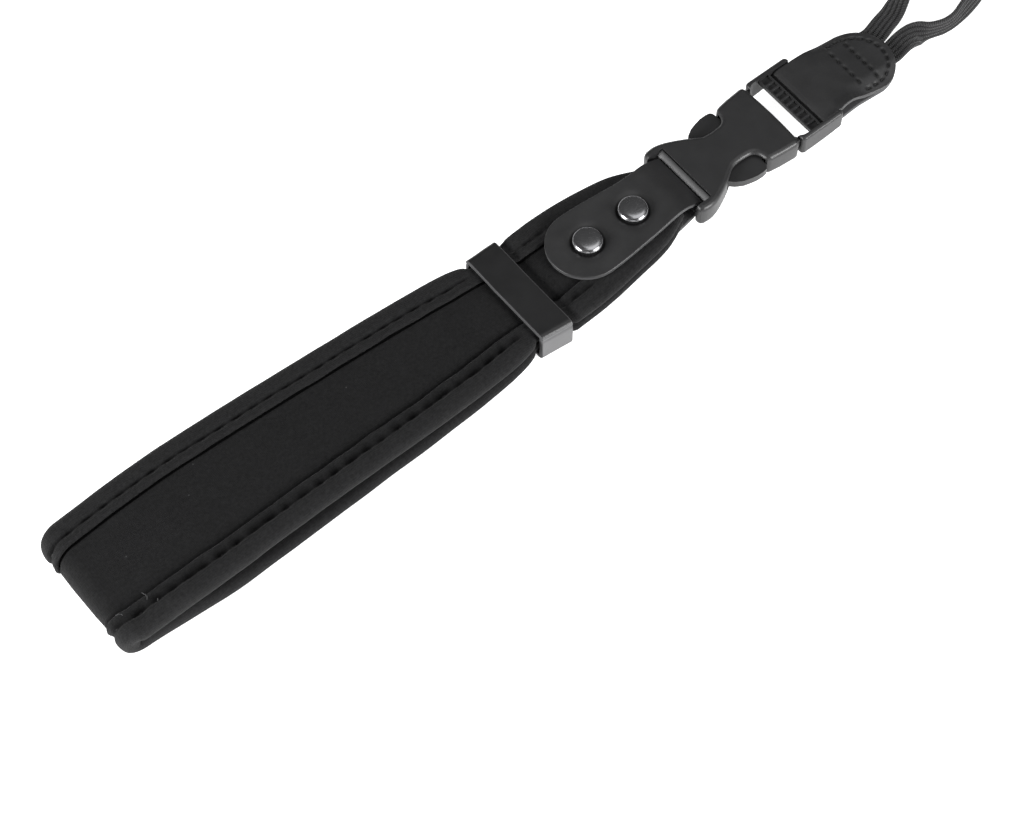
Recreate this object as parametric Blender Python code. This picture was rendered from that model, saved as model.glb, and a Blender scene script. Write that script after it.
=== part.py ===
"""A camera wrist strap that lies on a surface with its buckle fastened.

Lengths are in metres and +Z is up. X runs along the strap, from the fold of the pad to the webbing loop,
and Y runs across it. The origin is on the flat underside of the pad. The far side is +Y, the near side -Y.
"""

import math
from collections import namedtuple

import bmesh
import bpy
from mathutils import Vector

MM = 0.001

# Clearance between pieces that touch, and how far a cutting body runs past what it cuts
GAP = 0.3 * MM
CUTTER_RUN = 5.0 * MM

# Places along the strap
FOLD_END = -72.2 * MM            # outside of the fold
FOLD_TO_KEEPER = 142.2 * MM      # to the middle of the keeper
KEEPER_TO_CUT = 50.5 * MM        # from the middle of the keeper to the pad's cut ends
KEEPER_TO_TAB = 11.7 * MM        # from the middle of the keeper to the round end of the rivet tab
CUT_TO_BUCKLE = 3.8 * MM         # from the pad's cut ends to the buckle

# Pad: one padded strip folded on itself, each layer with a hem along both edges
PAD_WIDTH = 41.7 * MM
WAIST_WIDTH = 28.8 * MM          # inside the keeper
TAIL_WIDTH = 32.6 * MM           # under the rivets
HEM_WIDTH = 8.6 * MM
END_PANEL = 2.0 * MM             # what shows between the hems at the cut ends
HEM_THICKNESS = 4.4 * MM
WAIST_THICKNESS = 3.7 * MM
TAIL_THICKNESS = 3.2 * MM
PANEL_SINK = 0.45 * MM           # how far the panel lies below the hems
SEAM_SLOPE = 1.4 * MM            # breadth of the panel's slope down into a hem
HOLLOW = 4.9 * MM                # most height between the two layers
FOLD_PINCH = 0.04                # share of its width that the strip loses round the fold
BINDING = 1.0 * MM               # wall of the knit wrapped round each edge

# Keeper
KEEPER_LENGTH = 9.8 * MM
KEEPER_WALL = 1.3 * MM
KEEPER_CORNER = 0.9 * MM         # inside radius

# Rivet tab and rivets
LEATHER = 1.3 * MM
TAB_WIDTH = 22.0 * MM
TAB_NECK = 18.4 * MM             # width at the buckle's end bar
TAB_TO_RIVET = 12.0 * MM         # from the round end of the tab to the first rivet
RIVET_SPACING = 16.0 * MM
TAB_ASIDE = 0.8 * MM             # how far the tab's round end and the rivets lie towards the near side
RIVET_DIAMETER = 8.6 * MM
RIVET_CAP = 1.5 * MM
SHANK_DIAMETER = 3.2 * MM
WRAP_START = 75                  # degrees above level where the tab meets the buckle's end bar

# Buckle socket
SOCKET_LENGTH = 36.4 * MM
SOCKET_WIDTH = 25.4 * MM
SOCKET_WAIST = 12.4 * MM
SOCKET_THICKNESS = 7.8 * MM
SOCKET_WALL = 1.2 * MM           # top and bottom plates
SOCKET_SIDE = 1.3 * MM           # side walls
SOCKET_BEVEL = 1.5 * MM
MOUTH_BULGE = 0.5 * MM           # of the mouth's edge beyond its ends, in its middle
BAR_DIAMETER = 2.2 * MM          # end bars of socket and plug
BAR_INSET = 0.3 * MM             # of the socket's end bar from the tips of its ears
SLOT_LENGTH = 3.0 * MM           # between the end bar and the body
SLOT_WIDTH = 20.4 * MM
SLOT_SLANT = 1.2 * MM            # how far the slot's wall runs forward from top to bottom
BULKHEAD = 2.5 * MM              # between the slot and the hollow for the prongs
HOLLOW_FRONT = 0.8               # share of the hollow's width that it has at the bulkhead
BAR_ROUNDING = 0.48              # corner radius of an end bar, as a share of its diameter

# Buckle plug
PLUG_WIDTH = 24.8 * MM
PLUG_THICKNESS = 7.2 * MM
PLUG_BEVEL = 0.9 * MM
PLUG_CORNER = 1.2 * MM           # radius of its corners in plan
MOUTH_GAP = 0.9 * MM             # between the socket's mouth and the plug's rails
MOUTH_OVERLAP = 0.2 * MM         # of the window's front past the mouth's ends
BASE_LENGTH = 3.5 * MM           # block that fills the socket's mouth
NECK_LENGTH = 1.0 * MM           # of that block behind the rails' front ends
NECK_WIDTH = 21.8 * MM
RAIL_WIDTH = 1.4 * MM
RAIL_RISE = 1.6 * MM             # how far the rails' underside rises towards their ends
WINDOW_LENGTH = 4.8 * MM
WINDOW_CORNER = 3.0 * MM
TOOTHED_BAR = 3.8 * MM
TOOTHED_THICKNESS = 1.3 * MM
TOOTHED_SINK = 0.8 * MM          # of its ribs below the top of the rails
PLAIN_STRIP = 0.4 * MM           # along its front and rear, as high as its ribs
RIB_HEIGHT = 0.8 * MM
RIB_COUNT = 9
RIB_PITCH = 2.1 * MM
RIB_FOOT = 0.40                  # breadth of a rib at its foot and crest, as shares of the pitch
RIB_CREST = 0.22
REAR_BAR = 5.0 * MM
RAIL_OVERHANG = 0.4 * MM         # of the rails past the rear bar
BUTTON_WIDTH = 24.4 * MM         # across both release buttons
PRONG_THICKNESS = 2.4 * MM
PRONG_RAISE = 0.4 * MM           # of the prongs' middle above the buckle's
PRONG_INSIDE = 10.2 * MM         # between the prongs
PRONG_TIP = 3.2 * MM             # from the front of the hollow to the tips of the prongs

# Loop tab and webbing
LOOP_TAB_WIDTH = 21.4 * MM
REAR_BAR_TO_TAB_END = 27.1 * MM
TAB_DROOP = 1.6 * MM
LOOP_ASIDE = 0.9 * MM            # how far the tab's round end lies towards the near side
TAB_PINCH = 1.3 * MM             # how far the near edge of the upper ply is drawn in
WEBBING_WIDTH = 7.0 * MM
WEBBING = 1.3 * MM
WEBBING_INSET = 12.0 * MM        # length sewn inside the tab
LEG_SPLIT = 0.4 * MM             # between the two legs where they leave the tab
LEG_SHIFT = 1.5 * MM             # of the two legs from the tab's middle towards the far side
LOOP_REACH = 48.0 * MM           # from the end of the tab to the far end of the loop
LOOP_SPREAD = 13.0 * MM          # how far the loop spreads beyond its far leg

# The pad from the fold to the keeper: a share of that stretch, then how much of the full width, of the
# full thickness, of the lift over the keeper's wall and of the hollow there is at that place
WRIST_ROWS = (
    (0.00, 0.93, 1.00, 0.00, 0.70),
    (0.10, 0.965, 1.00, 0.00, 0.94),
    (0.21, 1.00, 1.00, 0.00, 1.00),
    (0.32, 0.945, 1.00, 0.00, 0.98),
    (0.42, 0.89, 1.00, 0.00, 0.91),
    (0.52, 0.83, 1.00, 0.00, 0.80),
    (0.61, 0.78, 1.00, 0.00, 0.67),
    (0.70, 0.735, 0.98, 0.00, 0.54),
    (0.79, 0.66, 0.95, 0.04, 0.42),
    (0.88, 0.55, 0.90, 0.16, 0.30),
    (0.945, 0.42, 0.72, 0.50, 0.19),
    (0.985, 0.22, 0.28, 0.90, 0.10),
    (1.00, 0.00, 0.00, 1.00, 0.06),
)

# The pad from the keeper to its cut ends: a share of that stretch, then the shares of the tail's width
# and of the cut end's width, of the tail's thickness and of its lift; what is left is the keeper's
TAIL_ROWS = (
    (0.00, 0.00, 0.00, 0.00, 0.00),
    (0.03, 0.62, 0.00, 0.20, 0.10),
    (0.08, 0.93, 0.00, 0.60, 0.70),
    (0.20, 1.00, 0.00, 0.95, 1.00),
    (0.30, 0.98, 0.02, 1.00, 1.00),
    (0.42, 0.92, 0.08, 1.00, 1.00),
    (0.60, 0.78, 0.22, 1.00, 1.00),
    (0.78, 0.59, 0.41, 1.00, 1.00),
    (0.87, 0.40, 0.60, 1.00, 1.00),
    (0.95, 0.15, 0.85, 1.00, 1.00),
    (1.00, 0.00, 1.00, 1.00, 1.00),
)

# Shares of those two stretches where a layer of the pad has a section, and of the radius of a tab's round
# end and of the tab's taper behind it where the leather has one
WRIST_STATIONS = (0.0, 0.05, 0.12, 0.22, 0.36, 0.49, 0.60, 0.70, 0.78, 0.85, 0.91, 0.955, 0.985, 1.0)
TAIL_STATIONS = (0.0, 0.03, 0.07, 0.13, 0.22, 0.36, 0.50, 0.62, 0.74, 0.82, 0.90, 1.0)
END_STATIONS = (0.02, 0.07, 0.15, 0.28, 0.45, 0.68, 1.0)
TAPER_STATIONS = (0.25, 0.5, 0.75, 1.0)
PLY_STATIONS = (0.14, 0.28, 0.42, 0.56, 0.70, 0.85, 1.0)
SEWN_STATIONS = (1.0, 0.3)       # of the webbing inside the tab, from the tab's end
FOLD_STEPS = 8
HEM_STEPS = 6
WRAP_STEPS = 8

# Across the panel: a share of its half width, and how many times the sink it lies below the hems
PANEL_ROWS = (
    (0.00, 1.00),
    (0.55, 1.15),
    (1.00, 1.80),
)

# Plan of the socket: a share of its length, and how much of its width it has beyond its waist
SOCKET_ROWS = (
    (0.000, 0.76),
    (0.009, 0.88),
    (0.035, 0.96),
    (0.097, 0.985),
    (0.165, 0.915),
    (0.242, 0.74),
    (0.310, 0.55),
    (0.364, 0.38),
    (0.412, 0.20),
    (0.466, 0.04),
    (0.533, 0.00),
    (0.616, 0.02),
    (0.659, 0.12),
    (0.684, 0.36),
    (0.693, 0.75),
    (0.815, 0.85),
    (1.000, 0.94),
)
SOCKET_STATIONS = (
    0.0, 0.009, 0.035, 0.063, 0.097, 0.131, 0.165, 0.204, 0.242, 0.276, 0.31, 0.34, 0.378, 0.412, 0.438, 0.466, 0.499,
    0.533, 0.572, 0.616, 0.64, 0.659, 0.673, 0.684, 0.693, 0.815, 0.91, 1.0,
)
MOUTH_STATIONS = (0.75, 0.4, 0.0)     # shares of the half width at which the mouth's edge has a corner
SIDE_OPENING = (0.340, 0.700)    # shares of the socket's length between which its sides are open

# Profile of a rivet's lower cap from its middle to the shank: shares of the cap's radius and thickness
RIVET_ROWS = (
    (0.00, 0.00),
    (0.80, 0.00),
    (0.94, 0.22),
    (1.00, 0.60),
    (0.97, 1.00),
)

# Outside of a release button: a share of the way from its shoulder to the prong's tip, and its share of
# the half width across both buttons
BUTTON_ROWS = (
    (0.00, 0.905),
    (0.02, 0.95),
    (0.06, 0.985),
    (0.15, 1.00),
    (0.30, 0.995),
    (0.45, 0.96),
    (0.60, 0.91),
    (0.75, 0.81),
    (0.90, 0.635),
    (1.00, 0.56),
)
ARM_ROOT = 0.76                  # shares of that half width, at the root of a prong and behind its shoulder
ARM_NECK = 0.69

# Underside of the plug's rails: a share of the way from the window to their ends, and how much it has risen
UNDERSIDE_ROWS = (
    (0.00, 0.00),
    (0.30, 0.24),
    (1.00, 1.00),
)

# Near edge of the loop tab's upper ply: a share of the way from the rails to the tab's end, and how much
# of the pinch it has
PINCH_ROWS = (
    (0.00, 0.00),
    (0.12, 0.35),
    (0.35, 1.00),
    (0.60, 0.55),
    (0.85, 0.00),
    (1.00, 0.00),
)

# The webbing's way round: a share of its reach past the tab, a share of its spread beyond its leg, how far
# it has come down to the surface and how far it has turned on its edge; first the far leg, then the near
FAR_LEG_ROWS = (
    (0.000, 0.00, 0.00, 0.00),
    (0.105, 0.11, 0.03, 0.03),
    (0.210, 0.23, 0.15, 0.13),
    (0.380, 0.54, 0.75, 0.45),
    (0.545, 0.80, 1.00, 0.74),
    (0.690, 0.95, 1.00, 0.92),
    (0.815, 0.98, 1.00, 1.00),
    (0.910, 0.89, 1.00, 1.00),
    (0.975, 0.66, 1.00, 1.00),
    (0.995, 0.42, 1.00, 1.00),
)
NEAR_LEG_ROWS = (
    (0.975, -0.73, 1.00, 1.00),
    (0.925, -0.49, 1.00, 1.00),
    (0.845, -0.26, 1.00, 0.92),
    (0.745, -0.08, 1.00, 0.82),
    (0.625, 0.03, 1.00, 0.78),
    (0.545, 0.10, 1.00, 0.86),
    (0.470, 0.15, 1.00, 0.96),
    (0.400, 0.14, 1.00, 1.00),
    (0.345, 0.08, 1.00, 1.00),
    (0.295, 0.01, 1.00, 0.92),
    (0.245, -0.07, 0.80, 0.56),
    (0.190, -0.09, 0.28, 0.22),
    (0.110, -0.07, 0.05, 0.03),
    (0.000, 0.00, 0.00, 0.00),
)

# Surface finishes: how light the grey is, how rough and how metallic
FINISHES = {
    "panel_knit": (0.014, 0.95, 0.0),
    "binding_knit": (0.022, 0.95, 0.0),
    "leather": (0.028, 0.55, 0.0),
    "moulded_plastic": (0.022, 0.45, 0.0),
    "dark_metal": (0.060, 0.25, 1.0),
    "woven_tape": (0.035, 0.90, 0.0),
}

# Heights that follow from the pieces stacked there
KEEPER_LIFT = KEEPER_WALL + GAP
TAIL_LIFT = RIVET_CAP + GAP + LEATHER + GAP
MIDDLE = TAIL_LIFT + TAIL_THICKNESS + GAP / 2        # height of the buckle's middle
RIVET_HEIGHT = 2 * MIDDLE
RIB_TOP = MIDDLE + PLUG_THICKNESS / 2 - TOOTHED_SINK
CAVITY = SOCKET_THICKNESS - 2 * SOCKET_WALL
BASE_THICKNESS = CAVITY - 2 * GAP
WRAP_RADIUS = BAR_DIAMETER / 2 + GAP + LEATHER / 2   # of the middle of the leather round a bar

# Places that follow along the strap
KEEPER_X = FOLD_END + FOLD_TO_KEEPER
KEEPER_START = KEEPER_X - KEEPER_LENGTH / 2
KEEPER_STOP = KEEPER_X + KEEPER_LENGTH / 2
CUT_X = KEEPER_X + KEEPER_TO_CUT
TAB_X = KEEPER_X + KEEPER_TO_TAB
FOLD_HOLLOW = HOLLOW * WRIST_ROWS[0][4]
FOLD_RADIUS = (HEM_THICKNESS + FOLD_HOLLOW) / 2      # of the middle of the strip
FOLD_X = FOLD_END + FOLD_RADIUS + HEM_THICKNESS / 2
SOCKET_X = CUT_X + CUT_TO_BUCKLE
BAR_X = SOCKET_X + BAR_INSET + BAR_DIAMETER / 2
SLOT_X = BAR_X + BAR_DIAMETER / 2 + SLOT_LENGTH
MOUTH_X = SOCKET_X + SOCKET_LENGTH
RAIL_X = MOUTH_X + MOUTH_GAP
WINDOW_X = MOUTH_X + MOUTH_OVERLAP
TOOTHED_X = WINDOW_X + WINDOW_LENGTH
SLIT_X = TOOTHED_X + TOOTHED_BAR
REAR_X = SLIT_X + LEATHER + 2 * GAP
RAIL_END = REAR_X + REAR_BAR + RAIL_OVERHANG
LOOP_TAB_END = REAR_X + REAR_BAR + REAR_BAR_TO_TAB_END

# Widths that follow from their neighbours
END_WIDTH = 2 * HEM_WIDTH + END_PANEL
WINDOW_HALF = PLUG_WIDTH / 2 - RAIL_WIDTH
TAB_AT_RAILS = WINDOW_HALF - GAP

Section = namedtuple("Section", "x z out_x out_z half thick sink")


def mix(low, high, share):
    """The value at a share of the way from low to high."""
    return low + (high - low) * share


def slope_at(rows, index, column):
    """Slope of a table's column at a row: level where the column turns, so the curve never overshoots."""
    def rise(start):
        return (rows[start + 1][column] - rows[start][column]) / (rows[start + 1][0] - rows[start][0])
    if index == 0:
        return rise(0)
    if index == len(rows) - 1:
        return rise(index - 1)
    before, after = rise(index - 1), rise(index)
    return 2 * before * after / (before + after) if before * after > 0 else 0.0


def table_at(rows, share):
    """A table's columns at a share of its stretch, on a smooth curve through its rows."""
    index = 0
    while index < len(rows) - 2 and share > rows[index + 1][0]:
        index += 1
    low, high = rows[index], rows[index + 1]
    span = high[0] - low[0]
    t = min(max((share - low[0]) / span, 0.0), 1.0)
    values = []
    for column in range(1, len(low)):
        start, end = slope_at(rows, index, column) * span, slope_at(rows, index + 1, column) * span
        values.append(
            low[column] * (2 * t**3 - 3 * t**2 + 1) + start * (t**3 - 2 * t**2 + t)
            + high[column] * (3 * t**2 - 2 * t**3) + end * (t**3 - t**2)
        )
    return values


def clear_scene():
    """Remove what a new Blender file holds."""
    for thing in list(bpy.data.objects):
        bpy.data.objects.remove(thing)


def level_off(share):
    """A share eased so that it starts and stops level."""
    return share * share * (3 - 2 * share)


def level_between(start, stop, x):
    """0 before one place along the strap and 1 past another, with a level start and stop."""
    return level_off(min(max((x - start) / (stop - start), 0.0), 1.0))


def material(name):
    """A plain surface finish."""
    grey, roughness, metallic = FINISHES[name]
    made = bpy.data.materials.new(name)
    made.use_nodes = True
    shader = made.node_tree.nodes["Principled BSDF"]
    shader.inputs["Base Color"].default_value = (grey, grey, grey, 1.0)
    shader.inputs["Roughness"].default_value = roughness
    shader.inputs["Metallic"].default_value = metallic
    return made


def add_object(name, bm, finish=None, smooth=None):
    """A mesh object from a bmesh, with its faces outwards and, if asked, smooth below an angle."""
    bmesh.ops.recalc_face_normals(bm, faces=bm.faces)
    mesh = bpy.data.meshes.new(name)
    bm.to_mesh(mesh)
    bm.free()
    if smooth is not None:
        mesh.shade_smooth()
        mesh.set_sharp_from_angle(angle=math.radians(smooth))
    if finish is not None:
        mesh.materials.append(finish)
    made = bpy.data.objects.new(name, mesh)
    bpy.context.scene.collection.objects.link(made)
    return made


def loft(rings):
    """A closed body through rings of points that match one another."""
    bm = bmesh.new()
    loops = [[bm.verts.new(point) for point in ring] for ring in rings]
    for ring, following in zip(loops, loops[1:]):
        for index in range(len(ring)):
            after = (index + 1) % len(ring)
            bm.faces.new((ring[index], ring[after], following[after], following[index]))
    bm.faces.new(loops[0])
    bm.faces.new(loops[-1])
    return bm


def prism(outline, low, high):
    """A plan outline of (x, y) points raised from one height to another."""
    return loft([[(x, y, z) for x, y in outline] for z in (low, high)])


def box(x_range, y_half, z_low, z_high):
    """A block that is centred across the strap."""
    x_low, x_high = x_range
    outline = ((x_low, -y_half), (x_high, -y_half), (x_high, y_half), (x_low, y_half))
    return prism(outline, z_low, z_high)


def rounded_outline(low, high, radius, steps=4):
    """A rectangle between two corners, with round corners, as pairs of coordinates."""
    corners = (
        (high[0] - radius, high[1] - radius, 0),
        (low[0] + radius, high[1] - radius, 90),
        (low[0] + radius, low[1] + radius, 180),
        (high[0] - radius, low[1] + radius, 270),
    )
    points = []
    for across, up, start in corners:
        for step in range(steps + 1):
            angle = math.radians(start + 90 * step / steps)
            points.append((across + radius * math.cos(angle), up + radius * math.sin(angle)))
    return points


def bar_across(x_low, x_high, half_length):
    """An end bar across the strap at the buckle's middle, with round edges."""
    half = BAR_DIAMETER / 2
    section = rounded_outline((x_low, MIDDLE - half), (x_high, MIDDLE + half), BAR_DIAMETER * BAR_ROUNDING)
    return loft([[(x, y, z) for x, z in section] for y in (-half_length, half_length)])


def bevel_rims(made, width, segments=3):
    """Round the sharp edges of an object."""
    rounding = made.modifiers.new("rims", "BEVEL")
    rounding.width = width
    rounding.segments = segments
    rounding.limit_method = "ANGLE"
    rounding.angle_limit = math.radians(50)


def combine(made, operation, bm, name):
    """Add a body to an object, or cut it out of the object."""
    tool = add_object(name, bm)
    tool.hide_render = True
    tool.display_type = "WIRE"
    step = made.modifiers.new(name, "BOOLEAN")
    step.operation = operation
    step.object = tool


# Pad and its bindings

def pad_at(x):
    """Half width, thickness of a layer, lift and hollow of the pad at a place along the strap."""
    if x <= KEEPER_START:
        full, thick, lift, hollow = table_at(WRIST_ROWS, (x - FOLD_X) / (KEEPER_START - FOLD_X))
        return (
            mix(WAIST_WIDTH, PAD_WIDTH, full) / 2,
            mix(WAIST_THICKNESS, HEM_THICKNESS, thick),
            KEEPER_LIFT * lift,
            max(GAP, HOLLOW * hollow),
        )
    tail, end, thick, lift = table_at(TAIL_ROWS, (x - KEEPER_STOP) / (CUT_X - KEEPER_STOP))
    return (
        (WAIST_WIDTH * (1 - tail - end) + TAIL_WIDTH * tail + END_WIDTH * end) / 2,
        mix(WAIST_THICKNESS, TAIL_THICKNESS, thick),
        mix(KEEPER_LIFT, TAIL_LIFT, lift),
        GAP,
    )


def layer_stations():
    """Places along the strap where a layer of the pad has a section, from the fold to the cut ends."""
    places = [mix(FOLD_X, KEEPER_START, share) for share in WRIST_STATIONS]
    return places + [mix(KEEPER_STOP, CUT_X, share) for share in TAIL_STATIONS]


def strip_sections():
    """Sections of the whole strip: along the lower layer, round the fold and back along the upper layer."""
    lower, upper = [], []
    for x in layer_stations():
        half, thick, lift, hollow = pad_at(x)
        lower.append(Section(x, lift + thick / 2, 0.0, -1.0, half, thick, 0.0))
        upper.append(Section(x, lift + thick * 1.5 + hollow, 0.0, 1.0, half, thick, PANEL_SINK))
    fold = []
    half, thick, lift, hollow = pad_at(FOLD_X)
    for step in range(1, FOLD_STEPS):
        turn = math.pi * step / FOLD_STEPS
        out_x, out_z = -math.sin(turn), -math.cos(turn)
        fold.append(Section(
            FOLD_X + FOLD_RADIUS * out_x,
            lift + thick / 2 + FOLD_RADIUS * (1 + out_z),
            out_x,
            out_z,
            half * (1 - FOLD_PINCH * math.sin(turn)),
            thick,
            PANEL_SINK * step / FOLD_STEPS,
        ))
    return lower[::-1] + fold + upper


def place(section, profile):
    """Points of a profile, given as pairs across and outwards, at a section of the strip."""
    return [(section.x + section.out_x * out, across, section.z + section.out_z * out) for across, out in profile]


def binding_wall(section):
    """Wall of the binding at a section: it is pressed with the rest of the hem."""
    return BINDING * section.thick / HEM_THICKNESS


def core_half(section, sink):
    """One face of the core from its middle to its edge, as pairs of how far across and how far from it."""
    hem, wall = section.thick / 2, binding_wall(section)
    edge = hem - wall - GAP
    rim = section.half - wall - GAP
    foot = section.half - HEM_WIDTH - GAP
    slope = min(SEAM_SLOPE, foot / 2)
    points = [((foot - slope) * share, max(edge, hem - sink * times)) for share, times in PANEL_ROWS]
    points += [(foot, edge), (rim - edge, edge)]
    points.append((rim - edge * (1 - math.cos(math.radians(45))), edge * math.sin(math.radians(45))))
    return points, rim


def core_profile(section):
    """Outline of the core at a section."""
    outer, rim = core_half(section, section.sink)
    inner, rim = core_half(section, PANEL_SINK)
    near = [(-across, out) for across, out in outer[:0:-1]]
    back_far = [(across, -out) for across, out in inner[::-1]]
    back_near = [(-across, -out) for across, out in inner[1:]]
    return [(-rim, 0.0)] + near + outer + [(rim, 0.0)] + back_far + back_near


def binding_profile(section, side):
    """Outline of the binding at a section: a wall bent round the core's edge."""
    hem, wall = section.thick / 2, binding_wall(section)
    lip = section.half - HEM_WIDTH
    centre = section.half - hem
    outside, inside = [(lip, hem)], [(lip, hem - wall)]
    for step in range(HEM_STEPS + 1):
        angle = math.pi * (0.5 - step / HEM_STEPS)
        along, up = math.cos(angle), math.sin(angle)
        outside.append((centre + hem * along, hem * up))
        inside.append((centre + (hem - wall) * along, (hem - wall) * up))
    outside.append((lip, -hem))
    inside.append((lip, wall - hem))
    return [(side * across, out) for across, out in outside + inside[::-1]]


def rivet_places():
    """Places of the two rivets along the strap."""
    first = TAB_X + TAB_TO_RIVET
    return {"near_keeper": first, "near_buckle": first + RIVET_SPACING}


def rivet_hole(x):
    """A body that clears a rivet's shank."""
    bm = bmesh.new()
    bmesh.ops.create_cone(
        bm, cap_ends=True, segments=16, radius1=SHANK_DIAMETER / 2 + GAP, radius2=SHANK_DIAMETER / 2 + GAP,
        depth=2 * RIVET_HEIGHT,
    )
    bmesh.ops.translate(bm, verts=bm.verts, vec=(x, -TAB_ASIDE, MIDDLE))
    return bm


def drill(made):
    """Holes for both rivets."""
    for name, x in rivet_places().items():
        combine(made, "DIFFERENCE", rivet_hole(x), f"{made.name}_hole_{name}")


def build_pad(knit, binding):
    sections = strip_sections()
    pad = add_object("wrist_pad", loft([place(s, core_profile(s)) for s in sections]), knit, smooth=40)
    drill(pad)
    for name, side in (("far", 1), ("near", -1)):
        rings = [place(s, binding_profile(s, side)) for s in sections]
        add_object(f"edge_binding_{name}", loft(rings), binding, smooth=50)


def build_keeper(leather):
    """A leather band round both layers, sewn into a flat tube."""
    half = WAIST_WIDTH / 2 + GAP
    thick = pad_at(KEEPER_START)[1]
    top = KEEPER_LIFT + 2 * thick + pad_at(KEEPER_START)[3] + GAP
    inside = rounded_outline((-half, KEEPER_WALL), (half, top), KEEPER_CORNER)
    outside = rounded_outline(
        (-half - KEEPER_WALL, 0.0), (half + KEEPER_WALL, top + KEEPER_WALL), KEEPER_CORNER + KEEPER_WALL
    )
    bm = bmesh.new()
    loops = []
    for outline in (outside, inside):
        for x in (KEEPER_START, KEEPER_STOP):
            loops.append([bm.verts.new((x, y, z)) for y, z in outline])
    for one, other in ((0, 1), (1, 3), (3, 2), (2, 0)):
        for index in range(len(outside)):
            after = (index + 1) % len(outside)
            bm.faces.new((loops[one][index], loops[one][after], loops[other][after], loops[other][index]))
    add_object("keeper_band", bm, leather, smooth=40)


# Leather tabs

def ribbon(path, halves, asides, near_cuts=None):
    """A strip of leather along a path of (x, z) points.

    Each point has the strip's half width there, how far it lies to the near side and, where its near edge is
    drawn in, how far.
    """
    rings = []
    for index, (x, z) in enumerate(path):
        before, after = path[max(index - 1, 0)], path[min(index + 1, len(path) - 1)]
        along = Vector((after[0] - before[0], after[1] - before[1])).normalized()
        out_x, out_z = along.y * LEATHER / 2, -along.x * LEATHER / 2
        far = halves[index] - asides[index]
        near = (near_cuts[index] if near_cuts else 0.0) - halves[index] - asides[index]
        rings.append([
            (x + out_x, near, z + out_z),
            (x + out_x, far, z + out_z),
            (x - out_x, far, z - out_z),
            (x - out_x, near, z - out_z),
        ])
    return loft(rings)


def round_end(distance, radius):
    """Share of the full width at a distance from a round end."""
    if distance >= radius:
        return 1.0
    return math.sqrt(max(1 - (1 - distance / radius) ** 2, 0.0))


def build_rivet_tab(leather):
    """The strip of leather that is riveted over and under the pad and passes round the socket's end bar."""
    height = TAIL_THICKNESS + GAP / 2 + GAP + LEATHER / 2
    end_radius = TAB_WIDTH / 2
    path, halves = [], []
    for share in END_STATIONS:
        path.append((TAB_X + end_radius * share, MIDDLE + height))
        halves.append(end_radius * round_end(end_radius * share, end_radius))
    for share in TAPER_STATIONS:
        path.append((mix(TAB_X + end_radius, CUT_X + GAP, share), MIDDLE + height))
        halves.append(mix(TAB_WIDTH, TAB_NECK, level_off(share)) / 2)
    for step in range(WRAP_STEPS + 1):
        angle = math.radians(mix(WRAP_START, 0, step / WRAP_STEPS))
        path.append((BAR_X + WRAP_RADIUS * math.cos(angle), MIDDLE + WRAP_RADIUS * math.sin(angle)))
        halves.append(TAB_NECK / 2)
    path += [(x, 2 * MIDDLE - z) for x, z in path[-2::-1]]
    halves += halves[-2::-1]
    last_rivet = max(rivet_places().values())
    asides = [TAB_ASIDE * (1 - level_between(last_rivet, BAR_X, x)) for x, z in path]
    tab = add_object("rivet_tab", ribbon(path, halves, asides), leather, smooth=40)
    drill(tab)


def build_rivets(metal):
    """Two rivets, each turned round its own axis, with a cap on both sides."""
    bottom = [(RIVET_DIAMETER / 2 * across, RIVET_CAP * up) for across, up in RIVET_ROWS]
    bottom.append((SHANK_DIAMETER / 2, RIVET_CAP))
    profile = bottom + [(radius, RIVET_HEIGHT - z) for radius, z in bottom[::-1]]
    for name, x in rivet_places().items():
        bm = bmesh.new()
        points = [bm.verts.new((radius, 0.0, z)) for radius, z in profile]
        edges = [bm.edges.new(pair) for pair in zip(points, points[1:])]
        bmesh.ops.spin(
            bm, geom=points + edges, cent=(0, 0, 0), axis=(0, 0, 1), angle=2 * math.pi, steps=20, use_merge=True
        )
        bmesh.ops.remove_doubles(bm, verts=bm.verts, dist=MM / 1000)
        rivet = add_object(f"rivet_{name}", bm, metal, smooth=40)
        rivet.location = (x, -TAB_ASIDE, 0.0)


# Buckle

def socket_half(share):
    """Half width of the socket at a share of its length."""
    return mix(SOCKET_WAIST, SOCKET_WIDTH, table_at(SOCKET_ROWS, share)[0]) / 2


def mirrored(far_side):
    """A closed plan outline from the points of its far side."""
    return list(far_side) + [(x, -y) for x, y in reversed(far_side) if y > 0]


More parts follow.
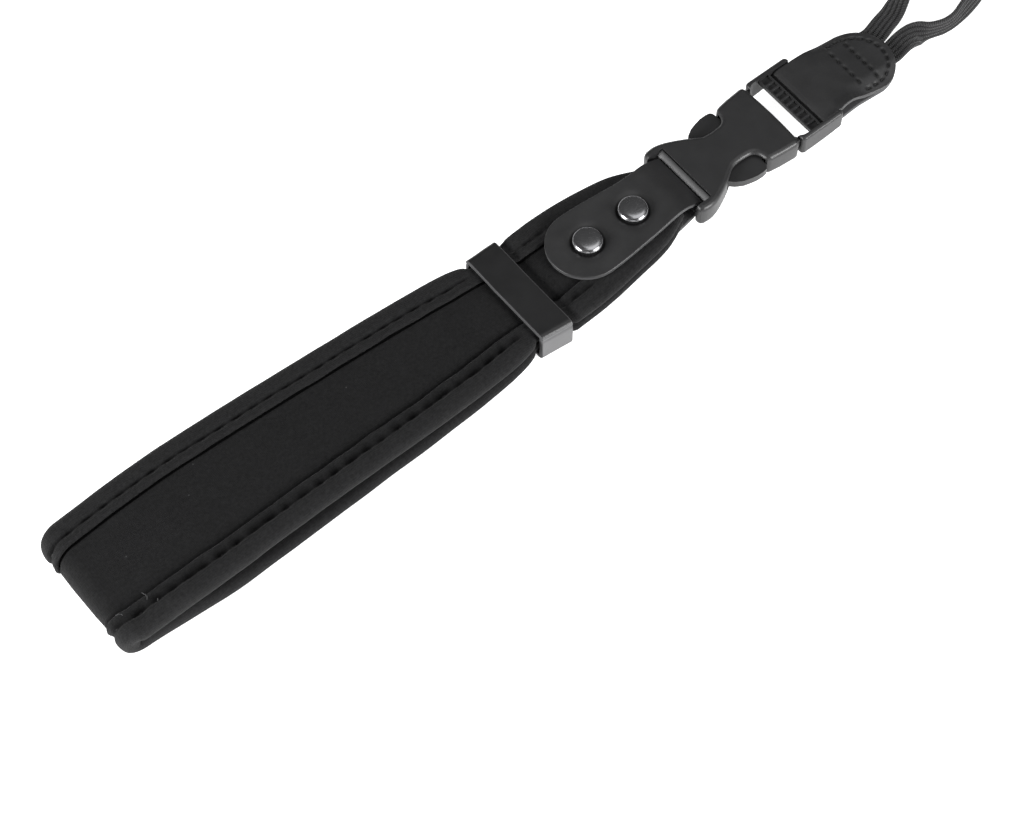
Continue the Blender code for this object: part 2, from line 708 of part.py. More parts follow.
def build_socket(plastic):
    """The female half: a hollow body with open sides, a slot and an end bar."""
    plan = [(SOCKET_X + SOCKET_LENGTH * share, socket_half(share)) for share in SOCKET_STATIONS]
    plan += [(MOUTH_X + MOUTH_BULGE * (1 - share**2), socket_half(1.0) * share) for share in MOUTH_STATIONS]
    low, high = MIDDLE - SOCKET_THICKNESS / 2, MIDDLE + SOCKET_THICKNESS / 2
    socket = add_object("buckle_socket", prism(mirrored(plan), low, high), plastic, smooth=35)
    bevel_rims(socket, SOCKET_BEVEL)
    lean = SLOT_SLANT / SOCKET_THICKNESS
    rings = []
    for z in (low - CUTTER_RUN, high + CUTTER_RUN):
        stop = SLOT_X + (z - high) * lean
        slot = rounded_outline((SOCKET_X - CUTTER_RUN, -SLOT_WIDTH / 2), (stop, SLOT_WIDTH / 2), GAP, steps=2)
        rings.append([(x, y, z) for x, y in slot])
    combine(socket, "DIFFERENCE", loft(rings), "socket_slot")
    bar = bar_across(BAR_X - BAR_DIAMETER / 2, BAR_X + BAR_DIAMETER / 2, (SLOT_WIDTH + SOCKET_SIDE) / 2)
    combine(socket, "UNION", bar, "socket_bar")
    outside = SOCKET_WIDTH / 2 + CUTTER_RUN
    open_start, open_stop = (SOCKET_X + SOCKET_LENGTH * share for share in SIDE_OPENING)
    start_half, stop_half = (socket_half(share) - SOCKET_SIDE for share in SIDE_OPENING)
    hollow = (
        (SLOT_X + BULKHEAD, start_half * HOLLOW_FRONT),
        (open_start, start_half),
        (open_start, outside),
        (open_stop, outside),
        (open_stop, stop_half),
        (MOUTH_X, mouth_half()),
        (MOUTH_X + CUTTER_RUN, mouth_half()),
    )
    cavity = prism(mirrored(hollow), MIDDLE - CAVITY / 2, MIDDLE + CAVITY / 2)
    combine(socket, "DIFFERENCE", cavity, "socket_hollow")


def mouth_half():
    """Half width of the socket's mouth."""
    return socket_half(1.0) - SOCKET_SIDE


def fork_outline():
    """Plan of both prongs with their release buttons, joined at the root."""
    root, tip = MOUTH_X - BASE_LENGTH, SLOT_X + BULKHEAD + PRONG_TIP
    shoulder = SOCKET_X + SOCKET_LENGTH * SIDE_OPENING[1] - 2 * GAP
    half = BUTTON_WIDTH / 2
    far_side = [(root + BASE_LENGTH / 2, half * ARM_ROOT), (shoulder + GAP, half * ARM_NECK)]
    far_side += [(mix(shoulder, tip, share), half * width) for share, width in BUTTON_ROWS]
    far_side += [(tip, PRONG_INSIDE / 2), (root, PRONG_INSIDE / 2)]
    return mirrored(far_side)


def base_outline():
    """Plan of the block that fills the socket's mouth, with its neck to the rails."""
    base = mouth_half() - 2 * GAP
    far_side = [(RAIL_X + NECK_LENGTH, NECK_WIDTH / 2), (MOUTH_X + GAP, NECK_WIDTH / 2), (MOUTH_X + GAP, base)]
    far_side.append((MOUTH_X - BASE_LENGTH, base))
    return mirrored(far_side)


def toothed_profile():
    """Section across the toothed bar, with its ribs on top, as (y, z) points."""
    half, foot_top = WINDOW_HALF + RAIL_WIDTH / 2, RIB_TOP - RIB_HEIGHT
    points = [(-half, RIB_TOP - TOOTHED_THICKNESS), (half, RIB_TOP - TOOTHED_THICKNESS), (half, foot_top)]
    foot, crest = RIB_PITCH * RIB_FOOT / 2, RIB_PITCH * RIB_CREST / 2
    for index in range(RIB_COUNT):
        centre = RIB_PITCH * ((RIB_COUNT - 1) / 2 - index)
        points += [(centre + foot, foot_top), (centre + crest, RIB_TOP)]
        points += [(centre - crest, RIB_TOP), (centre - foot, foot_top)]
    points.append((-half, foot_top))
    return points


def build_plug(plastic):
    """The male half: a frame with a window, a toothed bar and a rear bar, and two prongs in the socket."""
    low, high = MIDDLE - PLUG_THICKNESS / 2, MIDDLE + PLUG_THICKNESS / 2
    plan = rounded_outline((RAIL_X, -PLUG_WIDTH / 2), (RAIL_END, PLUG_WIDTH / 2), PLUG_CORNER)
    plug = add_object("buckle_plug", prism(plan, low, high), plastic, smooth=35)
    bevel_rims(plug, PLUG_BEVEL)
    base = prism(base_outline(), MIDDLE - BASE_THICKNESS / 2, MIDDLE + BASE_THICKNESS / 2)
    combine(plug, "UNION", base, "plug_base")
    reach = (MIDDLE + PRONG_RAISE - PRONG_THICKNESS / 2, MIDDLE + PRONG_RAISE + PRONG_THICKNESS / 2)
    combine(plug, "UNION", prism(fork_outline(), *reach), "plug_fork")
    opening = rounded_outline((WINDOW_X, -WINDOW_HALF), (RAIL_END + CUTTER_RUN, WINDOW_HALF), WINDOW_CORNER)
    combine(plug, "DIFFERENCE", prism(opening, low - CUTTER_RUN, high + CUTTER_RUN), "plug_opening")
    under = [(mix(WINDOW_X, RAIL_END, share), low + RAIL_RISE * rise) for share, rise in UNDERSIDE_ROWS]
    under += [(RAIL_END + CUTTER_RUN, low + RAIL_RISE), (RAIL_END + CUTTER_RUN, low - CUTTER_RUN)]
    wedge = loft([[(x, y, z) for x, z in under] for y in (-PLUG_WIDTH, PLUG_WIDTH)])
    combine(plug, "DIFFERENCE", wedge, "plug_underside")
    strip_half = WINDOW_HALF + RAIL_WIDTH / 2
    strips = ((TOOTHED_X, TOOTHED_X + PLAIN_STRIP), (SLIT_X - PLAIN_STRIP, SLIT_X))
    for name, reach in zip(("plug_front_strip", "plug_rear_strip"), strips):
        combine(plug, "UNION", box(reach, strip_half, RIB_TOP - TOOTHED_THICKNESS, RIB_TOP), name)
    reach = (TOOTHED_X + PLAIN_STRIP / 2, SLIT_X - PLAIN_STRIP / 2)
    teeth = loft([[(x, y, z) for y, z in toothed_profile()] for x in reach])
    combine(plug, "UNION", teeth, "plug_teeth")
    rear = bar_across(REAR_X, REAR_X + REAR_BAR, strip_half)
    combine(plug, "UNION", rear, "plug_rear_bar")


# Loop tab and webbing

def droop_at(x):
    """How far the loop tab and the webbing in it have sunk at a place along the strap."""
    return TAB_DROOP * level_between(RAIL_END, LOOP_TAB_END, x)


def aside_at(x):
    """How far the loop tab and the webbing in it lie to the near side at a place along the strap."""
    return LOOP_ASIDE * level_between(RAIL_END, LOOP_TAB_END, x)


def build_loop_tab(leather):
    """The leather round the plug's rear bar, with both plies sewn over the webbing."""
    ply = (WEBBING + LEATHER) / 2 + GAP
    full = LOOP_TAB_WIDTH / 2
    path, halves, cuts = [], [], []
    for share in END_STATIONS:
        x = LOOP_TAB_END - full * share
        path.append((x, MIDDLE + ply - droop_at(x)))
        halves.append(full * round_end(full * share, full))
    rail_clear = RAIL_END + GAP
    for share in PLY_STATIONS:
        x = mix(LOOP_TAB_END - full, rail_clear, share)
        level = level_off(share)
        path.append((x, MIDDLE + mix(ply, WRAP_RADIUS, level) - droop_at(x)))
        halves.append(mix(full, TAB_AT_RAILS, level))
    for x, z in path:
        cuts.append(TAB_PINCH * table_at(PINCH_ROWS, (x - rail_clear) / (LOOP_TAB_END - rail_clear))[0])
    bar_round = REAR_X + BAR_DIAMETER / 2
    for step in range(WRAP_STEPS + 1):
        angle = math.radians(90 + 90 * step / WRAP_STEPS)
        path.append((bar_round + WRAP_RADIUS * math.cos(angle), MIDDLE + WRAP_RADIUS * math.sin(angle)))
        halves.append(TAB_AT_RAILS)
        cuts.append(0.0)
    lower = []
    for x, z in path[-2::-1]:
        lower.append((x, 2 * (MIDDLE - droop_at(x)) - z))
        halves.append(halves[len(path) - 1 - len(lower)])
        cuts.append(0.0)
    path += lower
    add_object("loop_tab", ribbon(path, halves, [aside_at(x) for x, z in path], cuts), leather, smooth=40)


def lying_height(turn):
    """Height of the webbing's middle where its lower edge is on the surface."""
    tilt = math.radians(90) * turn
    return (WEBBING_WIDTH * math.sin(tilt) + WEBBING * math.cos(tilt)) / 2


def webbing_route():
    """Middle line of the webbing, as points with how far it has turned on its edge there."""
    leg = (WEBBING_WIDTH + LEG_SPLIT) / 2
    level = MIDDLE - TAB_DROOP
    route = []
    for rows, side in ((FAR_LEG_ROWS, 1), (NEAR_LEG_ROWS, -1)):
        for along, spread, down, turn in rows:
            y = LEG_SHIFT - LOOP_ASIDE + side * (leg + LOOP_SPREAD * spread)
            route.append((Vector((LOOP_TAB_END + LOOP_REACH * along, y, mix(level, lying_height(turn), down))), turn))
    sewn_in = []
    for share in SEWN_STATIONS:
        x = LOOP_TAB_END - WEBBING_INSET * share
        sewn_in.append((x, MIDDLE - droop_at(x)))
    far_y, near_y = LEG_SHIFT + leg, LEG_SHIFT - leg
    far_end = [(Vector((x, far_y - aside_at(x), z)), 0.0) for x, z in sewn_in]
    near_end = [(Vector((x, near_y - aside_at(x), z)), 0.0) for x, z in reversed(sewn_in)]
    return far_end + route + near_end


def smooth_route(route, steps=3):
    """A denser route on a smooth curve through the given one."""
    dense = []
    for index in range(len(route) - 1):
        a, b = route[max(index - 1, 0)], route[index]
        c, d = route[index + 1], route[min(index + 2, len(route) - 1)]
        for step in range(steps):
            t = step / steps
            weights = (
                (-t**3 + 2 * t**2 - t) / 2,
                (3 * t**3 - 5 * t**2 + 2) / 2,
                (-3 * t**3 + 4 * t**2 + t) / 2,
                (t**3 - t**2) / 2,
            )
            point = sum((w * p[0] for w, p in zip(weights, (a, b, c, d))), Vector())
            dense.append((point, mix(b[1], c[1], t)))
    return dense + [route[-1]]


def build_webbing(tape):
    """A flat tape in one loop: level where it is sewn in, on its edge where it lies on the surface."""
    route = smooth_route(webbing_route())
    rings = []
    for index, (point, turn) in enumerate(route):
        before, after = route[max(index - 1, 0)][0], route[min(index + 1, len(route) - 1)][0]
        along = (after - before).normalized()
        side = Vector((0, 0, 1)).cross(along).normalized()
        tilt = math.radians(90) * turn
        across = side * math.cos(tilt) - Vector((0, 0, 1)) * math.sin(tilt)
        through = across.cross(along).normalized()
        across = across * WEBBING_WIDTH / 2
        through = through * WEBBING / 2
        sunk = min(0.0, point.z - abs(across.z) - abs(through.z))
        middle = point - Vector((0, 0, sunk))
        rings.append([middle + across + through, middle - across + through,
                      middle - across - through, middle + across - through])
    add_object("webbing_loop", loft(rings), tape, smooth=40)


def build():
    clear_scene()
    leather = material("leather")
    plastic = material("moulded_plastic")
    build_pad(material("panel_knit"), material("binding_knit"))
    build_keeper(leather)
    build_rivet_tab(leather)
    build_rivets(material("dark_metal"))
    build_socket(plastic)
    build_plug(plastic)
    build_loop_tab(leather)
    build_webbing(material("woven_tape"))


build()
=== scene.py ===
import math
import random

import bmesh
import bpy
import numpy as np
from mathutils import Matrix, Vector, noise


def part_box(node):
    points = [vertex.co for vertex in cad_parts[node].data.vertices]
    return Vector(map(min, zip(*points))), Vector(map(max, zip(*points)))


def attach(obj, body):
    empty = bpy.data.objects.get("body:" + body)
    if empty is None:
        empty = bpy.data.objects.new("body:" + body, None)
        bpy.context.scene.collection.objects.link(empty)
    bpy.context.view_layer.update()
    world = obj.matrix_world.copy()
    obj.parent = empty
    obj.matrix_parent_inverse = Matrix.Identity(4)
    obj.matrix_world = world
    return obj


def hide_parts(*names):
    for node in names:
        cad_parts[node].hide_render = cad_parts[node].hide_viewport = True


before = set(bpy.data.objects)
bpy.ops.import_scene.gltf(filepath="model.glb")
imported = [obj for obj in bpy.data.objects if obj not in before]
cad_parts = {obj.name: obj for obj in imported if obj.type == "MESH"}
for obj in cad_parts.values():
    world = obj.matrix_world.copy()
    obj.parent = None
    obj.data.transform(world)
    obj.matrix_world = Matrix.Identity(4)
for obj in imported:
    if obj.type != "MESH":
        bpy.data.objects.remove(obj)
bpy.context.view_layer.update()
mm = 0.001
chance = random.Random(11)
up = Vector((0, 0, 1))
print("frame loaded:", len(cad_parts), "nodes")


# Camera, floor and light

photo = {
    "width": 1024,
    "focalPixels": 3000,
    "azimuth": -39.26,
    "elevation": 60.0,
    "target": Vector((49.64, -22.67, 0.0)) * mm,
    "distance": 793 * mm,
}
studio = {
    "floorSize": 6.0,
    "floorColour": (0.86, 0.86, 0.86, 1),
    "floorGlow": 0.9,
    "worldGrey": 0.13,
    # name, azimuth, elevation, distance, width, height, watts
    "lights": [
        ("frontLeft", -100, 22, 1.3, 0.6, 0.5, 28),
        ("frontRight", 22, 22, 1.3, 0.6, 0.5, 24),
        ("front", -39, 14, 1.4, 0.5, 0.25, 1),
        ("overhead", 60, 70, 1.6, 1.2, 1.2, 7),
    ],
}


def directionTo(azimuth, elevation):
    # azimuth 0 is the side that looks along +Y
    a, e = math.radians(azimuth), math.radians(elevation)
    return Vector((math.sin(a) * math.cos(e), -math.cos(a) * math.cos(e), math.sin(e)))


def aimed(spot, away):
    # a placing that looks back along a direction, with its own top upwards
    right = up.cross(away).normalized()
    made = Matrix((right, away.cross(right), away)).transposed().to_4x4()
    made.translation = spot
    return made


def addObject(name, data):
    made = bpy.data.objects.new(name, data)
    bpy.context.scene.collection.objects.link(made)
    return made


def makeCamera():
    data = bpy.data.cameras.new("camera")
    data.sensor_width = 36
    data.lens = data.sensor_width * photo["focalPixels"] / photo["width"]
    data.clip_start = 0.01
    made = addObject("camera", data)
    away = directionTo(photo["azimuth"], photo["elevation"])
    made.matrix_world = aimed(photo["target"] + away * photo["distance"], away)
    bpy.context.scene.camera = made


def makeStudio():
    bm = bmesh.new()
    bmesh.ops.create_grid(bm, x_segments=2, y_segments=2, size=studio["floorSize"] / 2)
    mesh = bpy.data.meshes.new("floor")
    bm.to_mesh(mesh)
    bm.free()
    floor = addObject("floor", mesh)
    material = bpy.data.materials.new("paleFloor")
    material.use_nodes = True
    shader = material.node_tree.nodes["Principled BSDF"]
    shader.inputs["Base Color"].default_value = studio["floorColour"]
    shader.inputs["Roughness"].default_value = 0.9
    shader.inputs["Emission Color"].default_value = (1, 1, 1, 1)
    shader.inputs["Emission Strength"].default_value = studio["floorGlow"]
    mesh.materials.append(material)
    for name, azimuth, elevation, distance, width, height, watts in studio["lights"]:
        data = bpy.data.lights.new(name, "AREA")
        data.shape = "RECTANGLE"
        data.size, data.size_y, data.energy = width, height, watts
        away = directionTo(azimuth, elevation)
        addObject(name, data).matrix_world = aimed(photo["target"] + away * distance, away)
    world = bpy.data.worlds.new("studio")
    world.use_nodes = True
    grey = studio["worldGrey"]
    world.node_tree.nodes["Background"].inputs["Color"].default_value = (grey, grey, grey, 1)
    bpy.context.scene.world = world
    bpy.context.scene.view_settings.view_transform = "Standard"


makeCamera()
makeStudio()
print("camera, floor and lights made")


# Materials

def addNode(tree, kind, values=None, **settings):
    node = tree.nodes.new(kind)
    for key, value in settings.items():
        setattr(node, key, value)
    for key, value in (values or {}).items():
        if isinstance(value, bpy.types.NodeSocket):
            tree.links.new(value, node.inputs[key])
        else:
            node.inputs[key].default_value = value
    return node


def maths(operation, first, second=0.0):
    # one of the two at least comes out of a node
    tree = (first if isinstance(first, bpy.types.NodeSocket) else second).id_data
    return addNode(tree, "ShaderNodeMath", {0: first, 1: second}, operation=operation).outputs[0]


def plus(first, second):
    return maths("ADD", first, second)


def minus(first, second):
    return maths("SUBTRACT", first, second)


def times(first, second):
    return maths("MULTIPLY", first, second)


def feed(shader, name, value):
    shader.id_data.links.new(value, shader.inputs[name])


def overlaid(share, colour, other):
    return addNode(share.id_data, "ShaderNodeMix", {0: share, 6: colour, 7: other}, data_type="RGBA").outputs[2]


def greyMix(share, low, high):
    # from one dark grey to another, each a little blue
    return overlaid(share, (low, low, low * 1.03, 1), (high, high, high * 1.03, 1))


def addBump(shader, height, strength, distance):
    bump = addNode(shader.id_data, "ShaderNodeBump", {"Height": height, "Strength": strength, "Distance": distance})
    feed(shader, "Normal", bump.outputs[0])


def startMaterial(name, roughness, sheen=0.0, metallic=0.0, specular=0.5):
    material = bpy.data.materials.new(name)
    material.use_nodes = True
    shader = material.node_tree.nodes["Principled BSDF"]
    shader.inputs["Roughness"].default_value = roughness
    shader.inputs["Sheen Weight"].default_value = sheen
    shader.inputs["Sheen Roughness"].default_value = 0.45
    shader.inputs["Metallic"].default_value = metallic
    shader.inputs["Specular IOR Level"].default_value = specular
    return material, material.node_tree, shader


def atObject(tree):
    return addNode(tree, "ShaderNodeTexCoord").outputs["Object"]


def onSurface(tree, pitchAcross, pitchAlong):
    # how many pitches across and along a piece, by its UV map
    parts = addNode(tree, "ShaderNodeSeparateXYZ", {0: addNode(tree, "ShaderNodeUVMap", uv_map="UVMap").outputs[0]})
    return maths("DIVIDE", parts.outputs[0], pitchAcross), maths("DIVIDE", parts.outputs[1], pitchAlong)


def offCentre(rib):
    # how far from the middle of its rib, 0.5 at the rib's edges
    return maths("ABSOLUTE", minus(maths("FRACT", rib), 0.5))


def cloudy(tree, size, detail, where=None):
    # noise whose blobs are about so large
    values = {"Vector": where or atObject(tree), "Scale": 1 / size, "Detail": detail}
    return addNode(tree, "ShaderNodeTexNoise", values).outputs[0]


def mapped(tree, **values):
    # the object's own coordinates, turned or squeezed
    return addNode(tree, "ShaderNodeMapping", {"Vector": atObject(tree), **values}).outputs[0]


def stretched(value, contrast):
    # noise spread out round its middle
    spread = plus(times(minus(value, 0.5), contrast), 0.5)
    return addNode(value.id_data, "ShaderNodeClamp", {"Value": spread}).outputs[0]


def paintCreaseShade(shader, colour, depth):
    # painted shade: the bottom of a seam, a stitch hole or a groove is darkened and loses its gloss, since little
    # light reaches it there; "crease" runs from 0 to 1 there
    crease = addNode(shader.id_data, "ShaderNodeAttribute", attribute_name="crease").outputs["Fac"]
    share = times(crease, depth)
    feed(shader, "Base Color", overlaid(share, colour, (0.0008, 0.0008, 0.0008, 1)))
    level = shader.inputs["Specular IOR Level"].default_value
    feed(shader, "Specular IOR Level", times(minus(1.0, share), level))


def knitMaterial(name, dark, light, waleWidth, courseHeight, lint, sheen):
    # rows of small V shaped loops that follow the surface, mottled, with a few specks of lint
    material, tree, shader = startMaterial(name, 0.95, sheen=sheen, specular=0.16)
    across, along = onSurface(tree, waleWidth, courseHeight)
    off = offCentre(across)
    loops = maths("SINE", times(plus(along, times(off, 1.6)), 2 * math.pi))
    wale = minus(1.0, maths("POWER", times(off, 2.0), 3.0))
    height = times(wale, plus(times(loops, 0.35), 0.65))
    fuzz = cloudy(tree, 0.35 * mm, 4.0)
    blotches = cloudy(tree, 9 * mm, 3.0)
    mottled = stretched(cloudy(tree, 0.8 * mm, 3.0), 2.6)
    share = plus(times(times(height, plus(times(fuzz, 0.7), 0.45)), 0.45), times(blotches, 0.2))
    colour = greyMix(plus(share, times(mottled, 0.42)), dark, light)
    values = {"Vector": atObject(tree), "Scale": 1 / (3.2 * mm), "Randomness": 1.0}
    cells = addNode(tree, "ShaderNodeTexVoronoi", values)
    chosen = addNode(tree, "ShaderNodeSeparateColor", {0: cells.outputs["Color"]}).outputs[0]
    speck = times(maths("LESS_THAN", cells.outputs["Distance"], 0.06), maths("GREATER_THAN", chosen, 1 - lint))
    paintCreaseShade(shader, overlaid(speck, colour, (0.045, 0.045, 0.045, 1)), 0.85)
    addBump(shader, plus(height, times(fuzz, 0.9)), 0.7, 0.12 * mm)
    return material


def leatherMaterial(name, dark, light, specular):
    # smooth coated leather: a shallow grain, faint scuffs in its gloss
    material, tree, shader = startMaterial(name, 0.4, specular=specular)
    values = {"Vector": atObject(tree), "Scale": 1 / (0.7 * mm)}
    grain = addNode(tree, "ShaderNodeTexVoronoi", values, feature="SMOOTH_F1").outputs["Distance"]
    broad = cloudy(tree, 7 * mm, 4.0)
    paintCreaseShade(shader, greyMix(broad, dark, light), 0.9)
    feed(shader, "Roughness", plus(times(broad, 0.18), 0.31))
    addBump(shader, plus(times(grain, -0.7), times(cloudy(tree, 0.25 * mm, 3.0), 0.35)), 0.35, 0.05 * mm)
    return material


def cutEdgeMaterial():
    # the raw fibres along a cut edge, lighter than the coated face; part of that lightness is painted light, for
    # the light line that the cut edges catch
    material, tree, shader = startMaterial("cutLeather", 0.75, specular=0.3)
    fibres = cloudy(tree, 0.22 * mm, 5.0)
    feed(shader, "Base Color", greyMix(fibres, 0.02, 0.085))
    addBump(shader, fibres, 0.5, 0.08 * mm)
    return material


def plasticMaterial(name, dark, light, gloss, specular):
    # moulded in a finely etched mould
    material, tree, shader = startMaterial(name, 0.4, specular=specular)
    broad = cloudy(tree, 5 * mm, 3.0)
    paintCreaseShade(shader, greyMix(broad, dark, light), 0.9)
    feed(shader, "Roughness", plus(times(broad, 0.12), gloss))
    addBump(shader, cloudy(tree, 0.16 * mm, 2.0), 0.3, 0.03 * mm)
    return material


def metalMaterial():
    # dark plated metal with fine handling scratches
    material, tree, shader = startMaterial("darkPlate", 0.2, metallic=1.0)
    scratches = cloudy(tree, 0.6 * mm, 5.0, mapped(tree, Scale=(1.0, 9.0, 1.0)))
    feed(shader, "Base Color", greyMix(cloudy(tree, 2.5 * mm, 3.0), 0.27, 0.36))
    feed(shader, "Roughness", plus(times(scratches, 0.22), 0.12))
    addBump(shader, scratches, 0.12, 0.02 * mm)
    return material


def tapeMaterial():
    # woven tape: slanting picks on each lengthwise rib
    material, tree, shader = startMaterial("wovenTape", 0.85, sheen=0.15, specular=0.3)
    rib, pick = onSurface(tree, tape["ribPitch"], tape["pickPitch"])
    yarn = maths("SINE", times(plus(pick, offCentre(rib)), 2 * math.pi))
    fuzz = cloudy(tree, 0.25 * mm, 4.0)
    paintCreaseShade(shader, greyMix(times(plus(times(yarn, 0.5), 0.5), fuzz), 0.007, 0.052), 0.9)
    addBump(shader, plus(yarn, fuzz), 0.6, 0.12 * mm)
    return material


def threadMaterial():
    # twisted sewing thread
    material, tree, shader = startMaterial("sewingThread", 0.6, sheen=0.1, specular=0.4)
    values = {"Vector": mapped(tree, Rotation=(0, 0, 0.7)), "Scale": 1 / (3.5 * mm)}
    twist = addNode(tree, "ShaderNodeTexWave", values, bands_direction="X").outputs[1]
    feed(shader, "Base Color", greyMix(twist, 0.003, 0.010))
    addBump(shader, twist, 0.5, 0.06 * mm)
    return material


tape = {
    "width": 7.0 * mm,
    "thickness": 1.3 * mm,
    "ribPitch": 1.4 * mm,
    "pickPitch": 0.62 * mm,
    "ribRelief": 0.2 * mm,
    "rowStep": 0.7 * mm,
    "faceColumns": 26,
    "edgeColumns": 5,
}

finishes = {
    "panelKnit": knitMaterial("panelKnit", 0.003, 0.0135, 0.52 * mm, 0.46 * mm, 0.1, 0.02),
    "hemKnit": knitMaterial("hemKnit", 0.004, 0.018, 0.58 * mm, 0.5 * mm, 0.07, 0.04),
    "leather": leatherMaterial("satinLeather", 0.013, 0.021, 0.5),
    "keeperLeather": leatherMaterial("keeperLeather", 0.008, 0.013, 0.33),
    # a lighter copy of the keeper's leather: painted light on the keeper's near side
    "keeperPaintedLight": leatherMaterial("keeperPaintedLight", 0.04, 0.1, 0.5),
    "cutEdge": cutEdgeMaterial(),
    "plastic": plasticMaterial("satinPlastic", 0.016, 0.022, 0.33, 0.34),
    # a lighter copy of the plastic: painted light on the slot's ramp
    "paintedLightPlastic": plasticMaterial("paintedLightPlastic", 0.035, 0.09, 0.4, 0.55),
    "metal": metalMaterial(),
    "tape": tapeMaterial(),
    "thread": threadMaterial(),
}
print("materials made:", len(finishes))


# Common steps

def mix(low, high, share):
    return low + (high - low) * share


def eased(share):
    share = min(max(share, 0.0), 1.0)
    return share * share * (3 - 2 * share)


def bell(away):
    # 1 in the middle, less and less on both sides of it
    return math.exp(-away * away)


def ripple(*place):
    # smooth noise from -1 to 1
    return noise.noise(Vector((list(place) + [0.0, 0.0])[:3]))


def finishPiece(name, bm, materials, replaced=(), smooth=40):
    mesh = bpy.data.meshes.new(name)
    bm.to_mesh(mesh)
    bm.free()
    mesh.shade_smooth()
    mesh.set_sharp_from_angle(angle=math.radians(smooth))
    for material in materials:
        mesh.materials.append(finishes[material])
    made = addObject(name, mesh)
    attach(made, "root")
    if replaced:
        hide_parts(*replaced)
    return made


def halfTurn(count):
    # points round half a circle from its top to its bottom, without those two, as how far out and how high
    return [(math.sin(math.pi * k / count), math.cos(math.pi * k / count)) for k in range(1, count)]


def closedRings(profiles, place, alongs, looped=False, kinds=None):
    # a skin through closed sections, with its ends closed or, when looped, joined. A section's point is how far
    # across it lies, how high, and how much painted shade it takes as its "crease", from 0 to 1; kinds(column, row)
    # picks a face's material. The UV map runs round each section and along the strap, in metres
    columns, rows = len(profiles[0]), len(profiles) - 1
    around = []
    for profile in profiles:
        ring = np.array([point[:2] for point in profile + profile[:1]])
        around.append(np.concatenate([[0], np.cumsum(np.linalg.norm(np.diff(ring, axis=0), axis=1))]))
    bm = bmesh.new()
    bmesh.ops.create_grid(bm, x_segments=columns, y_segments=rows, size=1.0)
    uv = bm.loops.layers.uv.new("UVMap")
    crease = bm.verts.layers.float.new("crease")
    spots = {}
    for vertex in bm.verts:
        spots[vertex] = (round((vertex.co.x + 1) / 2 * columns), round((vertex.co.y + 1) / 2 * rows))
    for face in bm.faces:
        for loop in face.loops:
            column, row = spots[loop.vert]
            loop[uv].uv = around[row][column], alongs[row]
        if kinds:
            face.material_index = kinds(*(min(spots[vertex][way] for vertex in face.verts) for way in (0, 1)))
    bySpot = {spot: vertex for vertex, spot in spots.items()}
    joined = {}
    for vertex, (column, row) in spots.items():
        point = profiles[row][column % columns]
        vertex.co = place(row, point)
        vertex[crease] = point[2] if len(point) > 2 else 0.0
        kept = bySpot[column % columns, row % rows if looped else row]
        if kept is not vertex:
            joined[vertex] = kept
    bmesh.ops.weld_verts(bm, targetmap=joined)
    bmesh.ops.remove_doubles(bm, verts=bm.verts, dist=1e-7)
    bmesh.ops.holes_fill(bm, edges=[edge for edge in bm.edges if edge.is_boundary], sides=0)
    bmesh.ops.recalc_face_normals(bm, faces=bm.faces)
    return bm


def smoothPath(points, step):
    # evenly spaced points on a smooth curve through the given ones
    dense = []
    for index in range(len(points) - 1):
        a, b = points[max(index - 1, 0)], points[index]
        c, d = points[index + 1], points[min(index + 2, len(points) - 1)]
        for part in range(12):
            t = part / 12
            dense.append(
                a * (-t**3 + 2 * t**2 - t) / 2 + b * (3 * t**3 - 5 * t**2 + 2) / 2
                + c * (-3 * t**3 + 4 * t**2 + t) / 2 + d * (t**3 - t**2) / 2
            )
    dense = np.array(dense + [points[-1]])
    run = np.concatenate([[0], np.cumsum(np.linalg.norm(np.diff(dense[:, :3], axis=0), axis=1))])
    even = np.linspace(0, run[-1], max(2, round(run[-1] / step)) + 1)
    return np.array([np.interp(even, run, dense[:, axis]) for axis in range(dense.shape[1])]).T, even


def curveAt(table, column, x):
    # a smooth curve through one column of a table over its first one, level where it turns
    xs, ys = table[:, 0], table[:, column]
    index = min(max(int(np.searchsorted(xs, x)) - 1, 0), len(xs) - 2)
    rises = np.diff(ys) / np.diff(xs)

    def slope(at):
        if at in (0, len(xs) - 1):
            return rises[min(at, len(rises) - 1)]
        before, after = rises[at - 1], rises[at]
        return 2 * before * after / (before + after) if before * after > 0 else 0.0

    span = xs[index + 1] - xs[index]
    t = min(max((x - xs[index]) / span, 0.0), 1.0)
    return (
        ys[index] * (2 * t**3 - 3 * t**2 + 1) + slope(index) * span * (t**3 - 2 * t**2 + t)
        + ys[index + 1] * (3 * t**2 - 2 * t**3) + slope(index + 1) * span * (t**3 - t**2)
    )


# Pad: one padded strip folded on itself, with a hem of knit along each edge

